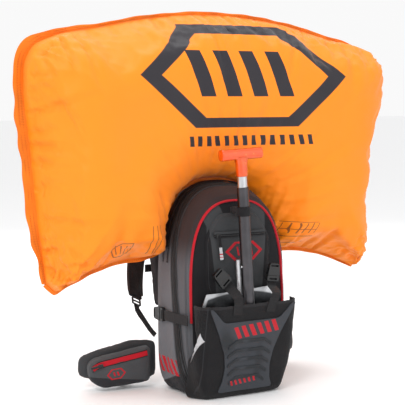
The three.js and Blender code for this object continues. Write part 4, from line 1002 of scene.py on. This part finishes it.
# %% Zip, piping and seams
zip_teeth = Finish("zip_teeth", (0.02, 0.02, 0.022), 0.45)
tooth_x, _, tooth_z = zip_teeth.axes()
teeth = ((tooth_z + tooth_x * 0.7) * (2 * math.pi / 0.0032)).sin()
zip_teeth.set(Base_Color=zip_teeth.mix(teeth, (0.012, 0.012, 0.013), (0.05, 0.05, 0.053)))
zip_teeth.bump(teeth + zip_teeth.noise(500, 2) * 0.4, 0.0008)


def round_bag(offset, lift):
    """A line round the bag at the zip, moved back by offset and out by lift."""
    angle = np.linspace(-0.36 * np.pi, 1.36 * np.pi, 260)
    return bag_surface(angle, zip_share(angle, offset), lift)


for body, side in (("front_pack", -1), ("rear_pack", 1)):
    for label, offset, lift, size, finish, slot in (
            ("_zip_tape", 0.0062, 0.0006, (0.009, 0.0016), black_cloth, "black_cloth"),
            ("_zip_teeth", 0.0016, 0.0012, (0.0022, 0.0022), zip_teeth, "black_plastic"),
            ("_zip_seam", 0.0125, 0.0005, (0.0026, 0.0024), grey_cloth, "grey_cloth")):
        swept(body.split("_")[0] + label, round_bag(side * offset, lift), rounded_section(*size), (0, 1, 0), body,
              finish, slot=slot)
angle = np.linspace(-0.022, 1.022, 240) * np.pi
piping_path = bag_surface(angle, np.full(240, 0.018), 0.0012)
swept("red_piping", piping_path, rounded_section(0.009, 0.0052, 0.45), (0, 1, 0), "front_pack", red_tape,
      stands_for=["front_piping"], slot="red_tape")

# %% [markdown]
# ### Burst zip
#
# The airbag leaves the pack through a zip over the top that its pressure tears open, so its teeth stand apart.

# %% Burst zip
angle = np.linspace(0.06, 0.94, 120) * np.pi
softened("burst_zip", black_cloth, edge=0.006, wrinkle=0.0002, scale=0.03, rounds=0)
top_x, top_z = bag_outline(angle, -0.0035)
for label, y in (("front", 0.012), ("rear", 0.0335)):
    dashes(f"burst_zip_teeth_{label}", np.stack([top_x, np.full(120, y), top_z], -1), (0, 1, 0),
           (0.0024, 0.005, 0.0028), 0.0048, "rear_pack", zip_teeth, "black_plastic")

# %% [markdown]
# ## Stitching
#
# Every seam on the bag is topstitched. A stitch is a block half a millimetre thick that lies on the cloth, and
# one row is a single mesh.

# %% Stitching
thread = cloth("thread", (0.06, 0.061, 0.066), thread=0.0006, mottle=0.1, sheen=0.0)
pale_thread = cloth("airbag_thread", (0.62, 0.13, 0.008), thread=0.0006, mottle=0.1, sheen=0.0)
PITCH = 0.0042


def stitched(name, line, body, size=(0.0026, 0.0007, 0.0006)):
    """A row of grey stitches on the bag."""
    return dashes(name, line, (0, 1, 0), size, PITCH, body, thread, "grey_cloth")


for body, side in (("front_pack", -1), ("rear_pack", 1)):
    for row, offset in enumerate((0.0088, 0.0166)):
        stitched(f"{body}_zip_stitch_{row}", round_bag(side * offset, 0.0011), body)
for row, share in enumerate((0.05, 0.064)):
    line = bag_surface(np.linspace(-0.12, 1.12, 200) * np.pi, np.full(200, share), 0.0007)
    stitched(f"piping_stitch_{row}", line, "front_pack")
for row, share in enumerate((0.3, 0.62)):
    flat = turned + outward * (reach * share)[:, None]
    line = np.stack([flat[:, 0], middle + sway * share - 0.0019, flat[:, 1]], -1)
    dashes(f"airbag_seam_stitch_{row}", line[:725], (0, 1, 0), (0.0042, 0.0008, 0.0009), 0.0062, "rear_pack",
           pale_thread, "airbag_cloth")

# %% [markdown]
# ## Front pocket and its zip
#
# The pocket is one panel, sewn flat to the bag at its edge and filled out by what is in it. It is a grid of
# rings: each ring is the outline drawn in, and rises as a rounded shoulder and then a gentle crown.

# %% Front pocket


POCKET_Z = 0.348


def pocket_outline(angle):
    """A superellipse whose top corners are drawn in."""
    x = 0.092 * signed_power(np.cos(angle), 0.32)
    z = POCKET_Z + 0.104 * signed_power(np.sin(angle), 0.32)
    return x * (1 - 0.3 * ease(z, 0.38, 0.455)), z


edge_x, edge_z = pocket_outline(np.linspace(0, 2 * np.pi, 200, endpoint=False))
line = np.stack([edge_x * 0.955, front_at(edge_z) - 0.0092, POCKET_Z + (edge_z - POCKET_Z) * 0.955], -1)
stitched("front_pocket_stitch", line, "front_pack", (0.0026, 0.0006, 0.0007))
radius = np.concatenate([[1.0], 1 - np.geomspace(0.01, 1, 30)])[:, None]
x, z = edge_x * radius, POCKET_Z + (edge_z - POCKET_Z) * radius
height = 0.0095 * np.sqrt(np.clip(1 - radius**14, 0, 1)) + 0.004 * (1 - radius**2) - 0.0022
spot = np.stack([x, 0 * x, z], -1)
slanted = (spot @ np.array([[1, 0, 0.8], [0, 1, 0], [-0.8, 0, 1]])) * [0.35, 1, 1.6]
height = height + (0.0011 * waves(spot * [1, 1, 1.5], 0.055, 41, 3)
                   + 0.0013 * waves(slanted, 0.05, 42, 2) * ease(0.36 - z, 0, 0.06)) * (1 - radius**6)
height = height - 0.0016 * np.exp(-(((z - 0.398) / 0.006) ** 2)) * (1 - radius**8)
grid = np.stack([x, front_at(z) - height, z], -1)


def pocket_zones(made, x, y, z):
    """Black sides and a red six-sided ring with bars."""
    sides = (x.abs() + (z - 0.4).abs() * 0.1).ramp(0.079, 0.081)
    ring = hex_mask(made, x, z, (0.014, 0.357), 0.0235, 2.0, 0.0045)
    bars = bars_mask(made, x, z, (0.058, 0.11, 0.346, 0.368), 0.013, 0.2, 0.4)
    return [(sides, BLACK), ((ring + bars).smaller(1), RED)]


pocket_cloth = cloth("pocket_cloth", tint(GREY, 0.96), zones=pocket_zones)
piece("front_pocket_cloth", grid, grid_faces(*grid.shape[:2], wrap=True), "front_pack", pocket_cloth,
      ["front_pocket"], "grey_cloth", 70)
zip_path = np.stack([np.linspace(-0.072, 0.074, 60), np.zeros(60), np.full(60, 0.398)], -1)
zip_path[:, 1] = front_at(0.398) - 0.0115 - 0.001 * np.sin(np.linspace(0, np.pi, 60))
for label, move, size, finish, slot, nodes in (
        ("tape", (0, 0, 0), (0.009, 0.0018), black_cloth, "black_cloth", ["front_pocket_zip"]),
        ("teeth", (0, -0.0008, 0), (0.0028, 0.0018), zip_teeth, "black_plastic", []),
        ("flap", (0, -0.0006, 0.0062), (0.006, 0.0022), grey_cloth, "grey_cloth", [])):
    swept("front_pocket_zip_" + label, zip_path + move, rounded_section(*size), (0, 0, 1), "front_pack", finish,
          stands_for=nodes, slot=slot)


def pull_zones(made, x, y, z):
    """Two red stripes near the pull's end, and black where it is sewn to the slider."""
    return [(box_mask(made, z, 0.352, 0.355) + box_mask(made, z, 0.3455, 0.3475), RED),
            (box_mask(made, z, 0.37, 0.41), BLACK)]


softened("front_zip_pull", cloth("pull_tape", (0.5, 0.51, 0.53), mottle=0.1, zones=pull_zones), edge=0.004,
         wrinkle=0.0003, scale=0.02, rounds=0)

# %% [markdown]
# ## The shovel pocket and its moulded panel
#
# The pocket is a black cloth gusset with a lining, open at the top and cut away at its sides. The grey panel on
# it is a sheet of moulded rubber with chevron ribs. Both follow their CAD shape closely, so each is a finely cut
# copy with its edges relaxed, and the ribs are told from the sheet by how far they stand out of its plane. A
# gap in the left gusset shows the blade's bright edge: a thin pane laid on the gusset stands for it.

# %% Shovel pocket


def slack(points, normals):
    """The gusset bellies between seams, its top edge rolls, its low corners draw in to x (1 - .2 low^2)."""
    front = ease(-0.075 - points[:, 1], 0, 0.03)
    belly = 0.0022 * np.sin(np.clip(points[:, 2] / 0.236, 0, 1) * np.pi) * waves(points * [1, 1, 0.5], 0.09, 52, 2)
    points = points.copy()
    points[:, 1] -= belly * front
    low = np.clip((0.125 - points[:, 2]) / 0.125, 0, 1) ** 2
    points[:, 0] *= 1 - 0.2 * low * ease(-0.05 - points[:, 1], 0, 0.05)
    points[:, 2] += 0.0014 * waves(points * [1, 1, 0], 0.05, 53, 2) * ease(points[:, 2], 0.2, 0.236)
    return points


def pocket_seams(made, x, y, z):
    """A lighter bound edge along the top, and a seam down each front corner."""
    rim = (z - 0.229).ramp(-0.0006, 0.0006)
    corner = box_mask(made, x.abs(), 0.1225, 0.1245) * (y < -0.08)
    return [(rim, (0.019, 0.018, 0.02)), (corner, (0.024, 0.024, 0.027))]


gusset_cloth = cloth("gusset_cloth", tint(BLACK, 0.9), mottle=0.3, rise=0.0005, zones=pocket_seams)
gusset = softened("shovel_pocket", gusset_cloth, edge=0.008, wrinkle=0.0009, scale=0.045, rounds=1, shape=slack,
                  sharp=50)
out_share, turn_share = np.meshgrid(np.linspace(0.03, 1, 22), np.linspace(0, 1, 12), indexing="ij")
low_tip, high_tip, front_tip = np.array([(-0.087, 0.093), (-0.127, 0.172), (-0.132, 0.152)])
far_side = (high_tip - low_tip) * (1 - turn_share[..., None]) + (front_tip - low_tip) * turn_share[..., None]
spot = (low_tip + out_share[..., None] * far_side).reshape(-1, 2)
window = laid_on(np.stack([np.full(len(spot), -0.2), *spot.T], -1), gusset, (1.0, 0, 0), 0.0007, 1)
pane = piece("gusset_window", window, grid_faces(*out_share.shape), "front_pack", blade_metal, slot="silver_metal")
pane.modifiers.new("thickness", "SOLIDIFY").thickness = 0.0006


def panel_zones(made, x, y, z):
    """Darker ribs where the surface stands furthest out, a row of red slanted bars and a small one below."""
    out = y * -1 - z * 0.2 - 0.108
    ribs = out.ramp(0.0040, 0.0050)
    rise = z - x * 0.1
    bars = bars_mask(made, x, rise, (0.034, 0.159, 0.155, 0.186), 0.021, 0.5, 0.55)
    small = bars_mask(made, x, rise, (-0.03, 0.0435, 0.036, 0.049), 0.0125, 0.45, 0.45)
    return [(ribs, (0.019, 0.0215, 0.025)), ((bars + small).smaller(1), RED)]


panel_rubber = cloth("panel_rubber", (0.037, 0.041, 0.049), thread=0.0011, mottle=0.12, roughness=0.62,
                     rise=0.00012, grain=0.05, sheen=0.05, zones=panel_zones)
softened("shovel_pocket_panel", panel_rubber, edge=0.006, wrinkle=0.0004, scale=0.06, rounds=1, shape=slack,
         sharp=35, name="moulded_pocket_panel")
softened("shaft_loop", black_cloth, edge=0.005, wrinkle=0.0006, scale=0.02, rounds=1)
softened("haul_loop", webbing, edge=0.005, wrinkle=0.0004, scale=0.03, rounds=0, sharp=50)
softened("airbag_neck", airbag_cloth, edge=0.01, wrinkle=0.0012, scale=0.03, rounds=0)
softened("check_flap", back_foam, edge=0.008, wrinkle=0.0002, rounds=0, sharp=40)

# %% [markdown]
# ## The shovel
#
# The blade is pressed aluminium with a socket. Its face is painted dark, as shade and as a reflection of the
# dark pack, and only a few millimetres round its outline show the bare silver metal. The lower shaft is a dark
# anodised oval tube, the inner one is bare, and the T grip is a clear orange moulding.

# %% Shovel


def blade_face_painted_shade():
    """Aluminium whose face is painted dark as shade and as a reflection of the dark pack, turning to bare silver
    within a few millimetres of its outline, with fine scratches.
    """
    made = Finish("blade_face_painted_shade", (0.2, 0.205, 0.215), 0.45, 1.0)
    x, y, z = made.axes()
    half = z.ramp(0.2, 0.27, 0.113, 0.094)
    edge = ((x + z * 0.05 - 0.009).abs() - half + 0.007).ramp(-0.002, 0.002)
    top = (z + (x * x) * 1.6 - 0.2605).ramp(-0.003, 0.002)
    neck = (x + z * 0.05 - 0.009).abs().ramp(0.0135, 0.0155, 1, 0) * (z > 0.2)
    worn = made.noise(45, 5).ramp(0.35, 0.7)
    # The face's dark colours are painted shade and a painted reflection of the dark pack; silver is kept near the
    # outline.
    made.set(Base_Color=made.mix((edge + top + neck).smaller(1), made.mix(worn, (0.05, 0.052, 0.056),
             (0.1, 0.104, 0.11)), (0.6, 0.61, 0.63)), Roughness=worn * 0.15 + 0.36)
    made.bump(made.noise(500, 3) + worn * 2, 0.00012)
    return made


refined("shovel_blade", blade_face_painted_shade(), 0.0, 35)
refined("shovel_outer_shaft", shaft_metal, 0.0005, 40)
refined("shovel_inner_shaft", silver_metal, 0.0004, 40)

shaft_foot = np.array([0.003, -0.1315, 0.2])
shaft_up = unit(np.array([-0.05, 0.025, 1.0]))
grip_low = 0.317 + 0.026 + 0.0004
bar_centre = shaft_foot + shaft_up * (grip_low + 0.044 + 0.010)
across = unit(np.array([1, 0, 0.05]))
run = np.array([-0.057, -0.0565, -0.055, -0.05, -0.03, -0.012, 0, 0.012, 0.03, 0.05, 0.055, 0.0565, 0.057])
swell = np.array([0.86, 0.95, 1, 1.0, 0.97, 0.95, 0.95, 0.95, 0.97, 1.0, 1, 0.95, 0.86])
turn = np.linspace(0, 2 * np.pi, 40, endpoint=False)
oval = np.stack([signed_power(np.cos(turn), 0.75), signed_power(np.sin(turn), 0.75)], -1)
back = np.cross(across, shaft_up)
rings = (bar_centre + run[:, None, None] * across + 0.0118 * swell[:, None, None] * oval[None, :, 0, None] * back
         + 0.0138 * swell[:, None, None] * oval[None, :, 1, None] * shaft_up)
grip_bar = tube("grip_bar", rings, "upper_shaft", grip_plastic, stands_for=["shovel_grip"], slot="grip_plastic",
                sharp=60)
stem_run = np.array([0, 0.001, 0.012, 0.03, 0.04, 0.046])
stem_wide = np.array([0.95, 1, 1, 1.02, 1.18, 1.5])
rings = (shaft_foot + (grip_low + stem_run)[:, None, None] * shaft_up
         + 0.0138 * stem_wide[:, None, None] * oval[None, :, 0, None] * across
         + 0.0113 * oval[None, :, 1, None] * back * np.minimum(stem_wide, 1.05)[:, None, None])
tube("grip_stem", rings, "upper_shaft", grip_plastic, slot="grip_plastic", sharp=60)
for k, height in enumerate(np.linspace(0.008, 0.036, 4)):
    spot = shaft_foot + shaft_up * (grip_low + height) - back * 0.0112
    rib = 0.0032 * (np.cos(turn)[:, None] * across + 0.6 * np.sin(turn)[:, None] * shaft_up)
    ring = np.stack([spot + d * back + rib for d in (0.0006, -0.0006)])
    tube(f"grip_rib_{k}", ring, "upper_shaft", grip_plastic, slot="grip_plastic")

# %% [markdown]
# ## The harness
#
# Back panel, shoulder straps and hip wings are foam under mesh, and the pouch is a stuffed box. Their CAD
# solids have square edges, so each copy is remeshed on a small grid, drawn in, and puffed out again by the
# cloth simulation, which rounds the edges as the foam does. The shoulder straps' bindings come after, as
# bands along their outlines.

# %% Padded harness


def relaxed_line(line, rounds=6):
    """A line whose inner points move half way to the mean of their neighbours, several times over."""
    for _ in range(rounds):
        line = np.vstack([line[:1], (line[:-2] + 2 * line[1:-1] + line[2:]) / 4, line[-1:]])
    return line


def strap_channels(points, normals):
    """Sewn quilting: shallow grooves every 70 mm across the strap."""
    groove = np.exp(-((np.mod(points[:, 2] - 0.02, 0.07) - 0.035) / 0.0022) ** 2)
    return points - (0.0011 * groove)[:, None] * normals


def panel_channels(points, normals):
    """Moulded air channels in the back foam: a groove every 58 mm that dips towards the middle."""
    height = points[:, 2] + 0.35 * np.abs(points[:, 0])
    groove = np.exp(-((np.mod(height, 0.058) - 0.029) / 0.0045) ** 2) * ease(points[:, 1], 0.096, 0.103)
    return points - (0.0028 * groove)[:, None] * np.array([0, 1, 0])


def wing_zones(made, x, y, z):
    """Grey cloth on the wing's outer face, which is where it stands in front of its middle sheet; mesh within."""
    out = (x.abs() - 0.126) * math.sin(splay) - (y - 0.1125) * math.cos(splay)
    return [(out.ramp(0.001, 0.002), tint(GREY, 1.3))]


def foam_zones(made, x, y, z):
    """Lighter cloth in patches laid out by noise, mesh between them."""
    return [(made.noise(40, 3).ramp(0.5, 0.7) * 0.5, (0.02, 0.019, 0.022))]


splay = math.radians(12)
wing_cloth = cloth("wing_cloth", FOAM, thread=0.0038, rise=0.0006, mottle=0.25, zones=wing_zones)
pad_cloth = cloth("pad_cloth", FOAM, thread=0.0038, rise=0.0009, mottle=0.25, zones=foam_zones)
softened("back_panel", pad_cloth, voxel=0.005, rounds=2, shrink=0.0018, puff=0.004, wrinkle=0.0006, scale=0.08,
         fill=0.8, shape=panel_channels, sharp=180)
PAD = dict(voxel=0.0042, rounds=1, shrink=0.0012, puff=0.003, wrinkle=0.0005, scale=0.05, fill=0.8, sharp=180)
for side in ("left", "right"):
    softened(side + "_shoulder_strap", pad_cloth, shape=strap_channels, **PAD)
    softened(side + "_hip_wing", wing_cloth, **PAD)

strap_route = spline(np.array([(-58, 113, 418), (-60, 140, 458), (-70, 178, 468), (-88, 208, 430),
                               (-106, 221, 370), (-130, 212, 310), (-152, 178, 255), (-163, 150, 222)]) / 1000, 60)


def strap_edges(points, route):
    """A strap's two long edges: near each place on its route, the furthest points along its widest way."""
    along = unit(np.gradient(route, axis=0))
    lines, last = [], None
    for place, run in zip(route, along):
        near = points[(np.abs((points - place) @ run) < 0.008) & (np.linalg.norm(points - place, axis=1) < 0.05)]
        spread = near - near.mean(0)
        spread = spread - (spread @ run)[:, None] * run
        wide = np.linalg.eigh(spread.T @ spread)[1][:, -1]
        wide = wide if last is None or wide @ last > 0 else -wide
        last = wide
        reach = (near - place) @ wide
        flat = near.mean(0) - place
        flat = place + flat - (flat @ wide) * wide - (flat @ run) * run
        lines.append([flat + reach.min() * wide, flat + reach.max() * wide])
    return np.swapaxes(np.array(lines), 0, 1)


edge_cloth = cloth("binding", (0.05, 0.037, 0.037), thread=0.0018, mottle=0.15, rise=0.0004)
for side, mirror in (("left", 1), ("right", -1)):
    route = strap_route[3:-2] * [mirror, 1, 1]
    node = frame["nodes"][side + "_shoulder_strap"]
    work = merged_copy(node.name)
    for _ in range(5):
        bmesh.ops.subdivide_edges(work, edges=[e for e in work.edges if e.calc_length() > 0.006], cuts=1)
        bmesh.ops.triangulate(work, faces=work.faces)
    dense, _ = arrays(work)
    for k, line in enumerate(strap_edges(dense, route)):
        line = spline(relaxed_line(line), 90)
        middle_line = route[np.linspace(0, len(route) - 1, 90).round().astype(int)]
        inward = unit(middle_line - line)
        swept(f"{side}_strap_binding_{k}", line + 0.0012 * inward, rounded_section(0.0062, 0.0062, 0.49, 5),
              (0, 1, 0.4), body_of[side + "_shoulder_strap"], edge_cloth, slot="black_cloth")

hip_origin = np.array([-0.126, 0.1125, 0])
hip_x = np.array([-math.cos(splay), math.sin(splay), 0])
hip_out = np.array([math.sin(splay), math.cos(splay), 0])


def hip_place(along, out, z):
    """Left hip wing coordinates: along the wing, out of it towards the front, and up."""
    return hip_origin + np.asarray(along)[..., None] * hip_x - np.asarray(out)[..., None] * hip_out + np.stack(
        [0 * np.asarray(z), 0 * np.asarray(z), np.asarray(z)], -1)


def pouch_zones(made, x, y, z):
    """A darker base and a small plain red six-sided ring with two bars in it."""
    low = (z + x * 0.12 - 0.003).ramp(-0.001, 0.001, 1, 0)
    rise = z - x * 0.12
    ring = hex_mask(made, x, rise, (-0.25, 0.0755), 0.0135, 1.5, 0.0024)
    bars = bars_mask(made, x, rise, (-0.2365, -0.2165, 0.0705, 0.0805), 0.009, 0.3, 0.45)
    return [(low * 0.8, CHARCOAL), ((ring + bars).smaller(1), RED)]


pouch_cloth = cloth("pouch_cloth", tint(GREY, 1.5), mottle=0.2, zones=pouch_zones)
pouch = softened("hip_pouch", pouch_cloth, voxel=0.0045, rounds=2, shrink=0.0022, puff=0.006, wrinkle=0.0012,
                 scale=0.05, fill=0.7, sharp=180, seed=8)
run = np.linspace(0.036, 0.176, 60)
height = 0.0955 - 28 / 150 * (run - 0.022) - 12 * np.maximum(run - 0.152, 0) ** 2
tape = laid_on(hip_place(run, np.full(60, 0.09), height), pouch, hip_out, 0.0008)
swept("hip_pouch_zip_tape", tape, rounded_section(0.0125, 0.002), (0, 0, 1), "left_hip", red_tape, slot="red_tape")
for row, drop in enumerate((-0.0071, 0.0071)):
    edge_line = laid_on(hip_place(run, np.full(60, 0.09), height + drop), pouch, hip_out, 0.0004)
    swept(f"hip_pouch_zip_edge_{row}", edge_line, rounded_section(0.0018, 0.0018, 0.49, 4), (0, 0, 1), "left_hip",
          black_cloth, slot="black_cloth")

# %% [markdown]
# ## Hose, cable and metal parts
#
# These are stiff and their CAD shape is right, so they only get their finish and, where a mould leaves one, a
# small rounded edge.

# %% Hose, cable and metal parts
for node, finish, bevel, sharp in (
        ("air_cylinder", cylinder_metal, 0.0, 35), ("ejector_housing", black_plastic, 0.0008, 35),
        ("frame_sheet", black_plastic, 0.0008, 35), ("pressure_hose", black_plastic, 0.0, 50),
        ("trigger_cable", black_plastic, 0.0, 50), ("gauge_needle", red_tape, 0.0, 50)):
    refined(node, finish, bevel, sharp)

# %% Finish
size = {"cad": cad_box, "visual": [[float(value) for value in corner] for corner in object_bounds()]}
print(size)
